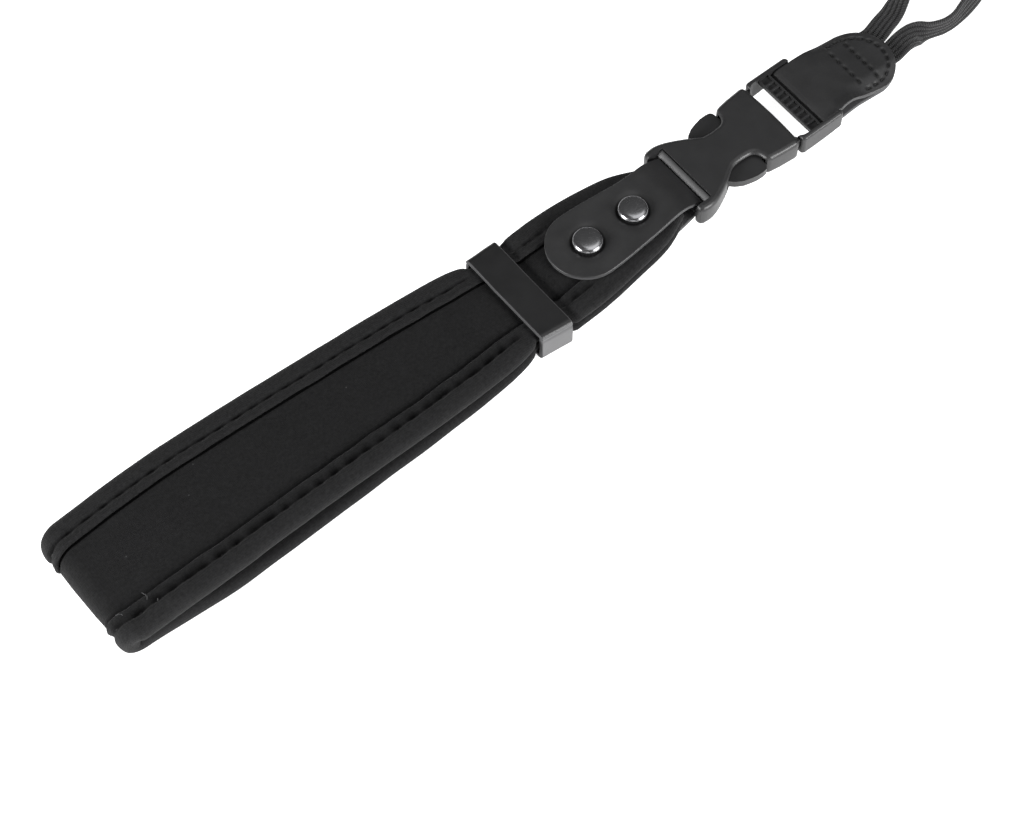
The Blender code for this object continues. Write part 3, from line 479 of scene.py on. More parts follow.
pad = {
    "rowStep": 0.8 * mm,
    "foldRows": 24,
    "foldPinch": 0.04,           # how much narrower the strip is in the middle of its fold
    "foldSquare": 0.72,          # 1 for a round fold, less for a squarer one
    # of the hollow that the inner faces fill: distances from the fold, and shares there
    "closing": ((0, 0.80), (10, 0.72), (22, 0.45), (45, 0.0), (400, 0.0)),
    "pullIn": 1.1 * mm,          # of the lower layer's near edge beside the fold
    "pullReach": 26 * mm,
    "aside": 0.8 * mm,           # towards the near side, most of all a little past the keeper
    "asideFrom": 2.5 * mm,
    "asideReach": 26 * mm,
    "squeezed": (55 * mm, 88 * mm),      # where the keeper squeezes the hems, so that their lips run on straight
    "gap": 0.3 * mm,             # between the panel and the knit of a hem
    "wall": 1.0 / 4.4,           # of a hem's knit, as a share of the hem's thickness
    "sink": 0.45 * mm,           # of the panel under the hems, and how much more there is beside them
    "sinkMore": 0.8,
    "sinkFrom": 0.45,            # a share of the way from the middle to the hem
    "freeReach": (7 * mm, 8 * mm),       # over which the keeper's and the riveted tab's pressing comes on
    "tabPress": 0.6,
    "faceColumns": 34,
    "edgeColumns": 4,
    "waves": 0.14 * mm,
    "gathers": 0.16 * mm,        # where the keeper squeezes the panel
    "gatherReach": 14 * mm,
    "gatherWidth": 4.6 / 1.5 * mm,
    "lipShade": 0.7 * mm,        # how far beside each hem the panel turns down and takes painted shade
    "nearShade": 0.25,           # of that painted shade, at the near hem
}
hem = {
    "seamIn": 3.1 * mm,          # of the seam from the hem's lip
    "pitch": 5.2 * mm,
    "pitchWander": 0.12,         # of each hole, as a share of the pitch
    "valley": 0.95 * mm,         # how deep the seam draws the knit down at most
    # of the valley: the usual share, how much less at a hole and more between two, and how much it varies
    "pulls": (0.72, 0.22, 0.35),
    "seamWander": 0.3 * mm,
    "lipCrown": 0.1 * mm,        # between the lip and the seam
    "ridge": 0.24 * mm,          # along the lip
    "ridgeIn": 0.55 * mm,
    "ridgeWidth": 0.45 * mm,
    "rollCrown": 0.22 * mm,      # past the seam
    "rollReach": 3.6 * mm,
    "wrinkles": 0.14 * mm,
    "wrinkleReach": 1.7 * mm,
    "swell": 0.07 * mm,
    "innerShare": 0.45,          # of the outer face's relief, on the face in the hollow
    "lipWander": 0.3 * mm,       # of the lip's line, and of the outline
    "edgeWander": 0.14 * mm,
    "faceColumns": 24,
    "turnColumns": 14,
    "innerColumns": 16,
    "insideColumns": 6,
    "lipColumns": 4,
}
# the side that each hem lies on, where its noise is read, how untidy its seam is, how wide the seam draws it down
# towards the lip and towards the roll, and how quickly the painted shade in that valley fades
hemSides = {
    "far": {"side": 1, "seeds": (3.1, 1.0), "rough": 0.5, "widths": (0.75 * mm, 0.5 * mm), "fading": 1.2},
    "near": {"side": -1, "seeds": (8.7, 6.0), "rough": 1.0, "widths": (1.75 * mm, 0.6 * mm), "fading": 0.75},
}


def readPad():
    # the pad's sections, read off the far binding: half width, lip and the four heights of both layers
    stations = {}
    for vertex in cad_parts["edge_binding_far"].data.vertices:
        x, y, z = (round(value * 1e5) for value in vertex.co)
        stations.setdefault(x, set()).add((y, z))
    rows = []
    for x, spots in sorted(stations.items()):
        if len(spots) < 30:
            continue        # not a whole section
        lip = min(y for y, z in spots)
        heights = sorted({z for y, z in spots if y <= lip + 1})
        rows.append([x, max(y for y, z in spots), lip, heights[0], heights[3], heights[4], heights[7]])
    return np.array(rows) * 1e-5


padTable = readPad()
foldX, cutX = padTable[0, 0], padTable[-1, 0]
keeperLow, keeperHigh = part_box("keeper_band")
tabLow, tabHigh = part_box("rivet_tab")


def padAt(x):
    half, lip, *heights = [curveAt(padTable, column, x) for column in range(1, 7)]
    start, stop = pad["squeezed"]
    if start < x < stop:
        ends = [curveAt(padTable, 2, end) for end in (start, stop)]
        lip = max(lip, mix(*ends, (x - start) / (stop - start)))
    return [half, lip, *heights]


def closingAt(x):
    away, shares = zip(*pad["closing"])
    return float(np.interp((x - foldX) / mm, away, shares))


def padRows():
    # sections along the whole strip: the lower layer, round the fold, then the upper layer
    half, lip, z0, z1, z2, z3 = padAt(foldX)
    outer, inner = (z3 - z0) / 2, (z2 - z1) / 2
    turnRadius = (outer + inner) / 2
    quarter = turnRadius * math.pi / 2
    lower, fold, upper = [], [], []
    for index in range(1, pad["foldRows"]):
        share = index / pad["foldRows"]
        out, drop = math.sin(math.pi * share), -math.cos(math.pi * share)
        square = pad["foldSquare"]
        way = Vector((-(out ** (2 - square)), math.copysign(abs(drop) ** (2 - square), drop))).normalized()
        fold.append({
            "x": foldX - turnRadius * out**square,
            "z": (z0 + z3) / 2 + turnRadius * math.copysign(abs(drop) ** square, drop),
            "outX": way.x, "outZ": way.y, "thick": outer - inner, "filled": closingAt(foldX) * inner,
            "half": half * (1 - pad["foldPinch"] * out), "hemWidth": half - lip,
            "pull": pad["pullIn"] * (1 - share), "sink": pad["sink"] * share,
            "free": 1.0, "along": quarter * (2 * share - 1),
        })
    count = round((cutX - foldX) / pad["rowStep"])
    for index in range(count + 1):
        x = mix(foldX, cutX, index / count)
        half, lip, z0, z1, z2, z3 = padAt(x)
        common = {"x": x, "half": half, "hemWidth": half - lip, "free": freedom(x), "outX": 0.0}
        common["filled"] = closingAt(x) * (z2 - z1) / 2
        run = quarter + x - foldX
        pull = pad["pullIn"] * (1 - eased((x - foldX) / pad["pullReach"]))
        below = {"z": (z0 + z1) / 2, "outZ": -1.0, "thick": z1 - z0, "sink": 0.0, "pull": pull, "along": -run}
        above = {"z": (z2 + z3) / 2, "outZ": 1.0, "thick": z3 - z2, "sink": pad["sink"], "pull": 0.0, "along": run}
        lower.append({**common, **below})
        upper.append({**common, **above})
    return lower[::-1] + fold + upper


def freedom(x):
    # 1 where nothing presses on the pad, less where the keeper or the riveted tab does
    keeper = min(abs(x - keeperLow.x), abs(x - keeperHigh.x)) if not keeperLow.x < x < keeperHigh.x else 0.0
    keeperReach, tabReach = pad["freeReach"]
    return eased(keeper / keeperReach) * (1 - pad["tabPress"] * eased((x - tabLow.x) / tabReach))


def tailAside(x):
    past = x - keeperHigh.x
    back = eased((past - pad["asideFrom"]) / pad["asideReach"])
    return pad["aside"] * eased(past / pad["asideFrom"]) * (1 - back)


def placed(row, across, height):
    # a point across a section and over its middle; the pad's own sections are also drawn in and moved aside
    if "pull" in row:
        if across < 0:
            across *= 1 - row["pull"] / row["half"]
        across -= tailAside(row["x"])
    return Vector((row["x"] + row["outX"] * height, across, row["z"] + row["outZ"] * height))


rows = padRows()
alongs = [row["along"] for row in rows]


def seamHoles(seed):
    # where the needle went through, along one seam
    random_ = random.Random(seed)
    places = np.linspace(alongs[0], alongs[-1], round((alongs[-1] - alongs[0]) / hem["pitch"]) + 1)
    wander = hem["pitchWander"]
    return np.array([place + random_.uniform(-wander, wander) * hem["pitch"] for place in places])


seams = {"far": seamHoles(3), "near": seamHoles(5)}


def hemRelief(name, inward, along, free, face):
    # how far the knit stands over the plain hem at a distance from its lip, and how strongly the seam draws it down
    side = hemSides[name]
    rough, seed = side["rough"], side["seeds"][0] + 20 * face
    phase = 2 * math.pi * np.interp(along, seams[name], np.arange(len(seams[name])))
    off = inward - hem["seamIn"] - hem["seamWander"] * rough * ripple(along / (7 * mm), seed)
    pulled, between, uneven = hem["pulls"]
    depth = pulled - between * math.cos(phase) + uneven * rough * ripple(along / (3.5 * mm), seed + 1)
    drawn = min(depth, 1.0) * bell(off / side["widths"][0 if off < 0 else 1])
    creased = ripple(along / (2.1 * mm) + off / (3 * mm), off / (1.5 * mm), seed + 2)
    height = hem["wrinkles"] * rough * math.exp(-abs(off) / hem["wrinkleReach"]) * (math.cos(phase) * 0.5 + creased)
    height += hem["ridge"] * bell((inward - hem["ridgeIn"]) / hem["ridgeWidth"]) - hem["valley"] * drawn
    if off < 0:
        height += hem["lipCrown"] * math.sin(math.pi * min(max(inward / hem["seamIn"], 0), 1))
    else:
        height += hem["rollCrown"] * math.sin(math.pi * min(off / hem["rollReach"], 1))
    height += hem["swell"] * ripple(along / (12 * mm), inward / (4 * mm), seed + 5)
    return height * free * face, drawn


def hemProfile(row, name):
    # points round one hem's section: how far in from the lip towards the edge, and how high over the middle
    radius, wall = row["thick"] / 2, row["thick"] * pad["wall"]
    inside = radius - wall
    start, turnAt = wall / 2, row["hemWidth"] - radius
    along, free, filled = row["along"], row["free"], row["filled"]
    seed = hemSides[name]["seeds"][1]
    wander = hem["edgeWander"] * free * ripple(along / (10 * mm), seed)
    lipMove = hem["lipWander"] * free * ripple(along / (8 * mm), seed + 9)
    points = []
    for t in np.linspace(start, turnAt, hem["faceColumns"] + 1):
        height, drawn = hemRelief(name, t, along, free, 1.0)
        shift = lipMove * (1 - eased(t / hem["seamIn"]))
        # the third value is painted shade in the seam's valley
        points.append((t + shift, radius + height, free * drawn ** hemSides[name]["fading"]))
    for out, rise in halfTurn(hem["turnColumns"]):
        points.append((turnAt + (radius + wander * out) * out, radius * rise - filled * (1 - rise) / 2))
    for t in np.linspace(turnAt, start, hem["innerColumns"] + 1):
        points.append((t, -radius - filled - hemRelief(name, t, along, free, hem["innerShare"])[0]))
    lip = [(start * (1 - out), start * (1 - rise)) for out, rise in halfTurn(hem["lipColumns"])]
    points += [(across, height - radius - filled * (1 - height / wall)) for across, height in lip]
    points += [(t, -inside) for t in np.linspace(start, turnAt, hem["insideColumns"] + 1)]
    points += [(turnAt + inside * out, -inside * rise) for out, rise in halfTurn(hem["turnColumns"] // 2)]
    points += [(t, inside) for t in np.linspace(turnAt, start, hem["insideColumns"] + 1)]
    return points + [(across + lipMove, inside + height) for across, height in lip]


def onHem(name, row, inward, height):
    return placed(row, hemSides[name]["side"] * (row["half"] - row["hemWidth"] + inward), height)


def makeHem(name):
    profiles = [hemProfile(row, name) for row in rows]
    bm = closedRings(profiles, lambda index, point: onHem(name, rows[index], *point[:2]), alongs)
    made = finishPiece(f"hem_{name}", bm, ["hemKnit"], [f"edge_binding_{name}"], smooth=60)


def panelHeight(row, share, face):
    # height of the panel's face at a share of the way from its middle to the hem's lip
    lie = row["sink"] if face > 0 else pad["sink"]
    height = row["thick"] / 2 - lie * (1 + pad["sinkMore"] * eased((share - pad["sinkFrom"]) / 0.5))
    along = row["along"]
    height += pad["waves"] * row["free"] * lie / pad["sink"] * ripple(along / (22 * mm), share * 2, 4 * face)
    distance = min(abs(row["x"] - keeperLow.x), abs(row["x"] - keeperHigh.x))
    if face > 0 and row["sink"] > 0 and distance < 3 * pad["gatherReach"]:
        fade = math.exp(-distance / pad["gatherReach"]) * row["free"]
        height += pad["gathers"] * fade * ripple(share * row["half"] / pad["gatherWidth"], along / (30 * mm), 7.7)
    return height


def panelProfile(row):
    # points round the panel's section: the outer face, the edge inside one hem, the inner face, the other edge
    wall = row["thick"] * pad["wall"]
    foot = row["half"] - row["hemWidth"] - pad["gap"]
    tuck = row["thick"] / 2 - wall - pad["gap"]
    rim = row["half"] - wall - pad["gap"]
    columns = pad["faceColumns"]
    outer, inner = [], []
    for face, points in ((1, outer), (-1, inner)):
        for index in range(columns + 1):
            share = math.sin(math.pi / 2 * (2 * index / columns - 1))
            height = max(tuck, panelHeight(row, abs(share), face))
            # beside each hem's lip the panel turns down and takes painted shade, less of it at the near hem
            beside = eased((abs(share) * foot - foot + pad["lipShade"]) / pad["lipShade"])
            height = mix(height, tuck, beside) + (row["filled"] if face < 0 else 0.0)
            points.append((share * foot, face * height, beside * (1.0 if share > 0 else pad["nearShade"])))
    straight = [(mix(foot, rim - tuck, 0.5), tuck), (rim - tuck, tuck)]
    turn = [(rim - tuck + tuck * out, tuck * rise) for out, rise in halfTurn(pad["edgeColumns"])]
    edge = straight + turn + [(across, -height) for across, height in straight[::-1]]
    back = [(-across, height) for across, height in edge[::-1]]
    return outer + edge + inner[::-1] + back


def makePanel():
    profiles = [panelProfile(row) for row in rows]
    bm = closedRings(profiles, lambda index, point: placed(rows[index], *point[:2]), alongs)
    made = finishPiece("pad_panel", bm, ["panelKnit"], ["wrist_pad"], smooth=60)


makePanel()
makeHem("far")
makeHem("near")
print("pad and hems made, mm along the folded strip:", round((alongs[-1] - alongs[0]) / mm, 1))


# Threads

thread = {
    "varied": (0.85, 1.1),       # how long each stitch is, as a share of the usual length
    "hemLength": 3.3 * mm,
    "hemRadius": 0.2 * mm,
    "hemSink": 0.2 * mm,
    "tabLength": 1.7 * mm,
    "tabRadius": 0.2 * mm,
    "tabRise": 0.05 * mm,        # of the middle of each stitch from the leather
    # x, y and length in mm, and the way it points in degrees
    "looseEnds": ((-60.3, -13.1, 2.4, 50), (-67.9, -12.6, 1.8, 100), (-59.0, -15.4, 0.7, 10)),
    "looseRadius": 0.11 * mm,
    "looseRise": 0.15 * mm,
    "looseTurn": 28,             # degrees from each third of a loose end to the next
}
endOn = Matrix.Rotation(math.radians(90), 4, "Y")


def addStitch(bm, spot, along, out, length, radius):
    # one stitch: a slim bead of thread that lies along a seam
    side = out.cross(along).normalized()
    top = along.cross(side).normalized()
    turn = Matrix((along * length / 2, side * radius, top * radius)).transposed().to_4x4()
    turn.translation = spot
    bmesh.ops.create_uvsphere(bm, u_segments=8, v_segments=8, radius=1.0, matrix=turn @ endOn)


def rowAt(along):
    # the strip's section at a distance along it, from the middle of the fold
    index = min(max(int(np.searchsorted(alongs, along)) - 1, 0), len(rows) - 2)
    low, high = rows[index], rows[index + 1]
    share = min(max((along - low["along"]) / (high["along"] - low["along"]), 0.0), 1.0)
    return {key: mix(low[key], high[key], share) for key in low}


def makeHemStitches():
    bm = bmesh.new()
    inward = hem["seamIn"]
    for name in seams:
        random_ = random.Random(name)
        for before, after in zip(seams[name], seams[name][1:]):
            along = (before + after) / 2
            row = rowAt(along)
            height = row["thick"] / 2 + hemRelief(name, inward, along, row["free"], 1.0)[0] - thread["hemSink"]
            spot = onHem(name, row, inward, height)
            way = onHem(name, rowAt(along + mm), inward, height) - spot
            out = Vector((row["outX"], 0.1 * random_.uniform(-1, 1), row["outZ"]))
            length = thread["hemLength"] * random_.uniform(*thread["varied"])
            addStitch(bm, spot, way.normalized(), out, length, thread["hemRadius"])
    finishPiece("hem_stitches", bm, ["thread"])


def makeLooseEnds():
    bm = bmesh.new()
    outside = [row for row in rows if row["outZ"] > 0]
    for x, y, length, heading in thread["looseEnds"]:
        row = min(outside, key=lambda row: abs(row["x"] + row["outX"] * row["thick"] / 2 - x * mm))
        out = Vector((row["outX"], 0, row["outZ"]))
        spot = placed(row, y * mm, row["thick"] / 2 + thread["looseRise"])
        for part in range(3):
            angle = math.radians(heading + thread["looseTurn"] * part)
            along = Vector((math.cos(angle) * row["outZ"], math.sin(angle), -math.cos(angle) * row["outX"]))
            spot += along * length * mm / 3 * (part > 0)
            addStitch(bm, spot, along.normalized(), out, length * mm / 2, thread["looseRadius"])
    finishPiece("loose_ends", bm, ["cutEdge"])


makeHemStitches()
makeLooseEnds()
print("hem stitches made")


# Keeper: a leather band round both layers

keeper = {
    "wall": 1.3 * mm,
    "corner": 1.5 * mm,
    "rim": 0.26 * mm,            # radius along its cut edges
    "sideGroove": 0.3 * mm,      # depth of the groove along the top of each side
    "grooveDown": 1.9 * mm,
    "grooveWidth": 0.35 * mm,
    "sag": 0.12 * mm,            # of the top between its ends
    "waves": 0.05 * mm,
    "wander": 0.12 * mm,
    "turned": (0.4 * mm, 1.5 * mm),      # how much further out its near side lies, from the fold's end on
    "step": 0.4 * mm,
    "cornerSteps": 8,
    "rimSteps": 3,
    "faceColumns": 24,
}


def roundedBox(low, high, radius, steps, counts):
    # points round a flat box with round corners and the way out at each, from its high corner on; counts says how
    # many steps its level and its upright sides take
    (lowX, lowY), (highX, highY) = ((way + radius for way in low), (way - radius for way in high))
    corners = [Vector(corner) for corner in ((highX, highY), (lowX, highY), (lowX, lowY), (highX, lowY))]
    found = []
    for index, corner in enumerate(corners):
        for step in range(steps + 1):
            angle = math.radians(90 * (index + step / steps))
            out = Vector((math.cos(angle), math.sin(angle)))
            found.append((corner + out * radius, out))
        spot, out = found[-1]
        side, count = corners[(index + 1) % 4] - corner, counts[index % 2]
        found += [(spot + side * step / count, out) for step in range(1, count)]
    return found


def makeKeeper():
    low, high = keeperLow, keeperHigh
    half, wall = (high.x - low.x) / 2, keeper["wall"]
    counts = [round((size - 2 * keeper["corner"]) / keeper["step"]) for size in (high - low).yz]
    band = roundedBox(low.yz, high.yz, keeper["corner"], keeper["cornerSteps"], counts)
    path = [(Vector((0, *spot)), Vector((0, *out))) for spot, out in band]
    section = roundedBox((-half, -wall), (half, 0), keeper["rim"], keeper["rimSteps"], (keeper["faceColumns"], 1))
    profile = [tuple(spot) for spot, out in section]
    run = [0.0]
    for (a, _), (b, _) in zip(path, path[1:] + path[:1]):
        run.append(run[-1] + (b - a).length)

    def place(row, point):
        spot, out = path[row % len(path)]
        across, height = point
        top = eased(out.z)
        height -= keeper["sag"] * top * (1 - (spot.y / high.y) ** 2)
        if abs(out.y) > 0.9:
            down = (high.z - spot.z - keeper["grooveDown"]) / keeper["grooveWidth"]
            height -= keeper["sideGroove"] * bell(down) * (height > -wall / 2)
        height += keeper["waves"] * ripple(across / (4 * mm), run[row] / (5 * mm))
        shift = keeper["wander"] * ripple(run[row] / (9 * mm), 3.3)
        aside = mix(*keeper["turned"], (across + half) / (2 * half)) * min(spot.y / high.y, 0.0)
        return spot + out * height + Vector(((low.x + high.x) / 2 + across + shift, aside, 0))

    outerColumns = range(keeper["rimSteps"], keeper["rimSteps"] + keeper["faceColumns"])

    def kindAt(column, row):
        # the cut edges and the inside, the near side, which gets a lighter copy of the leather as painted light,
        # and the rest
        if column not in outerColumns:
            return 1
        return 2 if path[row % len(path)][1].y < -0.75 else 0

    bm = closedRings([profile] * (len(path) + 1), place, run, looped=True, kinds=kindAt)
    materials = ["keeperLeather", "cutEdge", "keeperPaintedLight"]
    finishPiece("keeper", bm, materials, ["keeper_band"], smooth=60)


makeKeeper()
print("keeper made")


# Leather tabs: each a strip with round ends that passes round a bar of the buckle

leatherTab = {
    "thickness": 1.3 * mm,
    "rim": 0.25 * mm,
    "rowStep": 0.42 * mm,
    "columns": 60,
    "wallColumns": 4,
    "endRows": 26,
    "waves": 0.09 * mm,
}


def stripRows(points, radius):
    # places along a leather strip through (x, z) points, close together at its round ends
    line, run = smoothPath(np.array(points), 0.1 * mm)
    ends = [radius * (1 - math.cos(math.pi / 2 * k / leatherTab["endRows"])) for k in range(leatherTab["endRows"])]
    between = np.linspace(radius, run[-1] - radius, round((run[-1] - 2 * radius) / leatherTab["rowStep"]) + 1)
    slopes = np.gradient(line, run, axis=0)
    found = []
    for place in ends + list(between) + [run[-1] - end for end in reversed(ends)]:
        x, z = (np.interp(place, run, line[:, k]) for k in (0, 1))
        alongX, alongZ = (np.interp(place, run, slopes[:, k]) for k in (0, 1))
        length = math.hypot(alongX, alongZ)
        found.append({
            "x": x, "z": z, "outX": -alongZ / length, "outZ": alongX / length, "along": place,
            "end": min(place, run[-1] - place), "upper": place > run[-1] / 2,
        })
    return found


def stripProfile(row, half, cut, aside, radius, relief):
    # one section: outer face, far wall, inner face and near wall, with a rim rounded all along its outline
    thick, rim = leatherTab["thickness"], leatherTab["rim"]
    if row["end"] < radius:
        half = math.sqrt(max(radius**2 - (radius - row["end"]) ** 2, 0.0))

    def edgeDrop(y):
        away = half - y if y > 0 else y + half - cut
        if row["end"] < radius:
            away = min(away, radius - math.hypot(radius - row["end"], y))
        share = 1 - min(max(away / rim, 0.0), 1.0)
        return rim * (1 - math.sqrt(1 - share * share))

    outer, inner = [], []
    for index in range(leatherTab["columns"] + 1):
        y = mix(cut - half, half, (math.sin(math.pi * (index / leatherTab["columns"] - 0.5)) + 1) / 2)
        shift, crease = relief(row, y)
        outer.append((y, thick / 2 - edgeDrop(y) + shift, crease))
        inner.append((y, edgeDrop(y) - thick / 2 + shift))
    farWall, nearWall = [], []
    for index in range(1, leatherTab["wallColumns"]):
        share = index / leatherTab["wallColumns"]
        farWall.append((half, mix(outer[-1][1], inner[-1][1], share)))
        nearWall.append((cut - half, mix(inner[0][1], outer[0][1], share)))
    return [(y - aside, *rest) for y, *rest in outer + farWall + inner[::-1] + nearWall]


def roundBar(tab, degrees):
    # where the middle line of the leather goes round its bar, as x and the height over the buckle's middle
    angle = math.radians(degrees)
    return tab["barX"] + tab["wrapRadius"] * math.cos(angle), tab["wrapRadius"] * math.sin(angle)


def makeStrip(name, found, halfAt, cutAt, asideAt, radius, relief, replaced):
    print(name, "mm long when flat:", round(found[-1]["along"] / mm, 1))
    profiles = [stripProfile(row, halfAt(row), cutAt(row), asideAt(row["x"]), radius, relief) for row in found]
    bm = closedRings(
        profiles, lambda index, point: placed(found[index], *point[:2]), [row["along"] for row in found],
        kinds=lambda column, row: 0 if column < leatherTab["columns"] else 1,
    )
    finishPiece(name, bm, ["leather", "cutEdge"], [replaced], smooth=50)


socketLow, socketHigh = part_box("buckle_socket")
plugLow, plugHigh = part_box("buckle_plug")
middle = (socketLow.z + socketHigh.z) / 2
rivetTab = {
    "width": 22.0 * mm,
    "neck": 18.4 * mm,
    "height": (tabHigh.z - tabLow.z - leatherTab["thickness"]) / 2,     # of each ply's middle from the buckle's
    "barX": socketLow.x + 1.4 * mm,
    "wrapRadius": 2.05 * mm,
    "wrapStart": 66,
    "bendFrom": 119.4 * mm,
    "flatReach": 3 * mm,         # how soon after that its face is plain
    "dent": 0.4 * mm,
    "dentRadius": 3.6 * mm,
    "dentReach": 1.9 * mm,
    "shadeRadius": 4.5 * mm,     # of the painted shadow line where each cap presses on the leather
    "shadeWidth": 0.4 * mm,
}
rivetBoxes = {name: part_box(name) for name in ("rivet_near_keeper", "rivet_near_buckle")}
rivetPlaces = [(low.x + high.x) / 2 for low, high in rivetBoxes.values()]
rivetAside = -sum(low.y + high.y for low, high in rivetBoxes.values()) / 4


def rivetTabPath():
    # the upper half of the tab's middle line, from its round end to the buckle's end bar
    height, bendFrom, wrapStart = (rivetTab[key] for key in ("height", "bendFrom", "wrapStart"))
    endX, endZ = roundBar(rivetTab, wrapStart)
    upper = [(mix(tabLow.x, bendFrom, share), height) for share in np.linspace(0, 1, 12)]
    upper += [(mix(bendFrom, endX, share), mix(height, endZ, share**1.7)) for share in (0.25, 0.5, 0.75)]
    return upper + [roundBar(rivetTab, wrapStart * (1 - step / 6)) for step in range(6)]


def makeRivetTab():
    upper = rivetTabPath()
    lower = [(x, -z) for x, z in upper[::-1]]
    radius = rivetTab["width"] / 2
    found = stripRows([(x, middle + z) for x, z in upper + [roundBar(rivetTab, 0)] + lower], radius)
    taper = cutX - tabLow.x - radius

    def halfAt(row):
        return mix(rivetTab["width"], rivetTab["neck"], eased((row["end"] - radius) / taper)) / 2

    def relief(row, y):
        # a dent round each cap, and a ring of painted shadow at the cap's edge
        dent = crease = 0.0
        for place in rivetPlaces:
            away = math.hypot(row["x"] - place, y)
            dent = max(dent, bell(max(away - rivetTab["dentRadius"], 0.0) / rivetTab["dentReach"]))
            crease = max(crease, bell((away - rivetTab["shadeRadius"]) / rivetTab["shadeWidth"]))
        flat = 1 - eased((row["x"] - rivetTab["bendFrom"]) / rivetTab["flatReach"])
        wave = ripple(row["x"] / (9 * mm), y / (7 * mm), 2.2) + 0.6 * ripple(row["x"] / (4 * mm), y / (4 * mm), 9.2)
        return flat * (leatherTab["waves"] * wave - rivetTab["dent"] * dent), crease

    def asideAt(x):
        return rivetAside * (1 - eased((x - max(rivetPlaces)) / (rivetTab["barX"] - max(rivetPlaces))))

    makeStrip("rivet_strap", found, halfAt, lambda row: 0.0, asideAt, radius, relief, "rivet_tab")


makeRivetTab()
print("rivet tab made")


# Rivets

rivet = {
    "steps": 96,
    # radius, and how far down from the top of the cap
    "cap": (
        (0.00, 0.00), (1.30, 0.02), (2.30, 0.08), (2.95, 0.15), (3.30, 0.22), (3.42, 0.30), (3.55, 0.33),
        (3.72, 0.42), (3.92, 0.58), (4.10, 0.80), (4.24, 1.05), (4.29, 1.22), (4.24, 1.38), (4.05, 1.47),
        (3.70, 1.50), (1.55, 1.50),
    ),
}


def makeRivets():
    for name, (low, high) in rivetBoxes.items():
        bm = bmesh.new()
        half = [(radius * mm, high.z - drop * mm) for radius, drop in rivet["cap"]]
        spots = half + [(radius, low.z + high.z - z) for radius, z in half[::-1]]
        points = [bm.verts.new((radius, 0.0, z)) for radius, z in spots]
        edges = [bm.edges.new(pair) for pair in zip(points, points[1:])]
        bmesh.ops.spin(
            bm, geom=points + edges, cent=(0, 0, 0), axis=(0, 0, 1), angle=2 * math.pi, steps=rivet["steps"],
            use_merge=True,
        )
        bmesh.ops.remove_doubles(bm, verts=bm.verts, dist=1e-6)
        bmesh.ops.translate(bm, verts=bm.verts, vec=((low.x + high.x) / 2, (low.y + high.y) / 2, 0))
        bmesh.ops.recalc_face_normals(bm, faces=bm.faces)
        finishPiece(f"cap_{name}", bm, ["metal"], [name], smooth=35)


makeRivets()
print("rivets made")


# Buckle: the moulded halves, with their cut edges slightly rounded

buckle = {
    "edge": 0.22 * mm,
    "sharp": 32,                 # degrees between two faces, from which their edge is rounded
    "flat": 0.6,                 # degrees, up to which two faces count as one
    "slotWall": 129.8 * mm,
    "slotHalf": 9.95 * mm,
    "rampDown": 0.4 * mm,        # from the top to the ramp in the slot
    # how far back and how far down from there and how much painted shade, with a groove between the wall and the
    # ramp
    "ramp": (
        (0.42, 0.00, 0.85), (0.92, 0.38, 0.55), (1.36, 0.80, 0.2), (1.82, 1.22, 0), (1.92, 1.45, 0), (1.45, 3.0, 0),
        (-0.3, 3.0, 0), (-0.3, 1.3, 0), (0.37, 1.00, 0.85),
    ),
}


def makeMoulded(name, node):
    bm = bmesh.new()
    bm.from_mesh(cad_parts[node].data)
    bmesh.ops.transform(bm, matrix=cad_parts[node].matrix_world, verts=bm.verts)
    bmesh.ops.remove_doubles(bm, verts=bm.verts, dist=2e-6)
    bmesh.ops.dissolve_limit(bm, angle_limit=math.radians(buckle["flat"]), verts=bm.verts, edges=bm.edges)
    sharp = []
    for edge in bm.edges:
        if len(edge.link_faces) == 2 and edge.calc_face_angle() > math.radians(buckle["sharp"]):
            sharp.append(edge)
    bmesh.ops.bevel(
        bm, geom=sharp, offset=buckle["edge"], segments=2, profile=0.5, affect="EDGES", clamp_overlap=True,
        material=-1,
    )
    bmesh.ops.recalc_face_normals(bm, faces=bm.faces)
    made = finishPiece(name, bm, ["plastic"], [node], smooth=30)
    made.modifiers.new("even", "WEIGHTED_NORMAL").keep_sharp = True


def makeSlotRamp():
    # the slot's wall falls away in a ramp, which guides the leather round the end bar; the ramp gets painted light
    # from a lighter plastic, and painted shade towards the wall
    profile = [(back * mm, down * mm, shade) for back, down, shade in buckle["ramp"]]
    sides = np.linspace(-buckle["slotHalf"], buckle["slotHalf"], 9)

    def place(row, point):
        return Vector((buckle["slotWall"] - point[0], sides[row], socketHigh.z - buckle["rampDown"] - point[1]))

    bm = closedRings([profile] * len(sides), place, list(sides))
    finishPiece("slot_ramp", bm, ["paintedLightPlastic"], smooth=40)


makeSlotRamp()
makeMoulded("socket", "buckle_socket")
makeMoulded("plug", "buckle_plug")
print("buckle made")


# Loop tab: leather folded round the plug's rear bar and sewn over the webbing

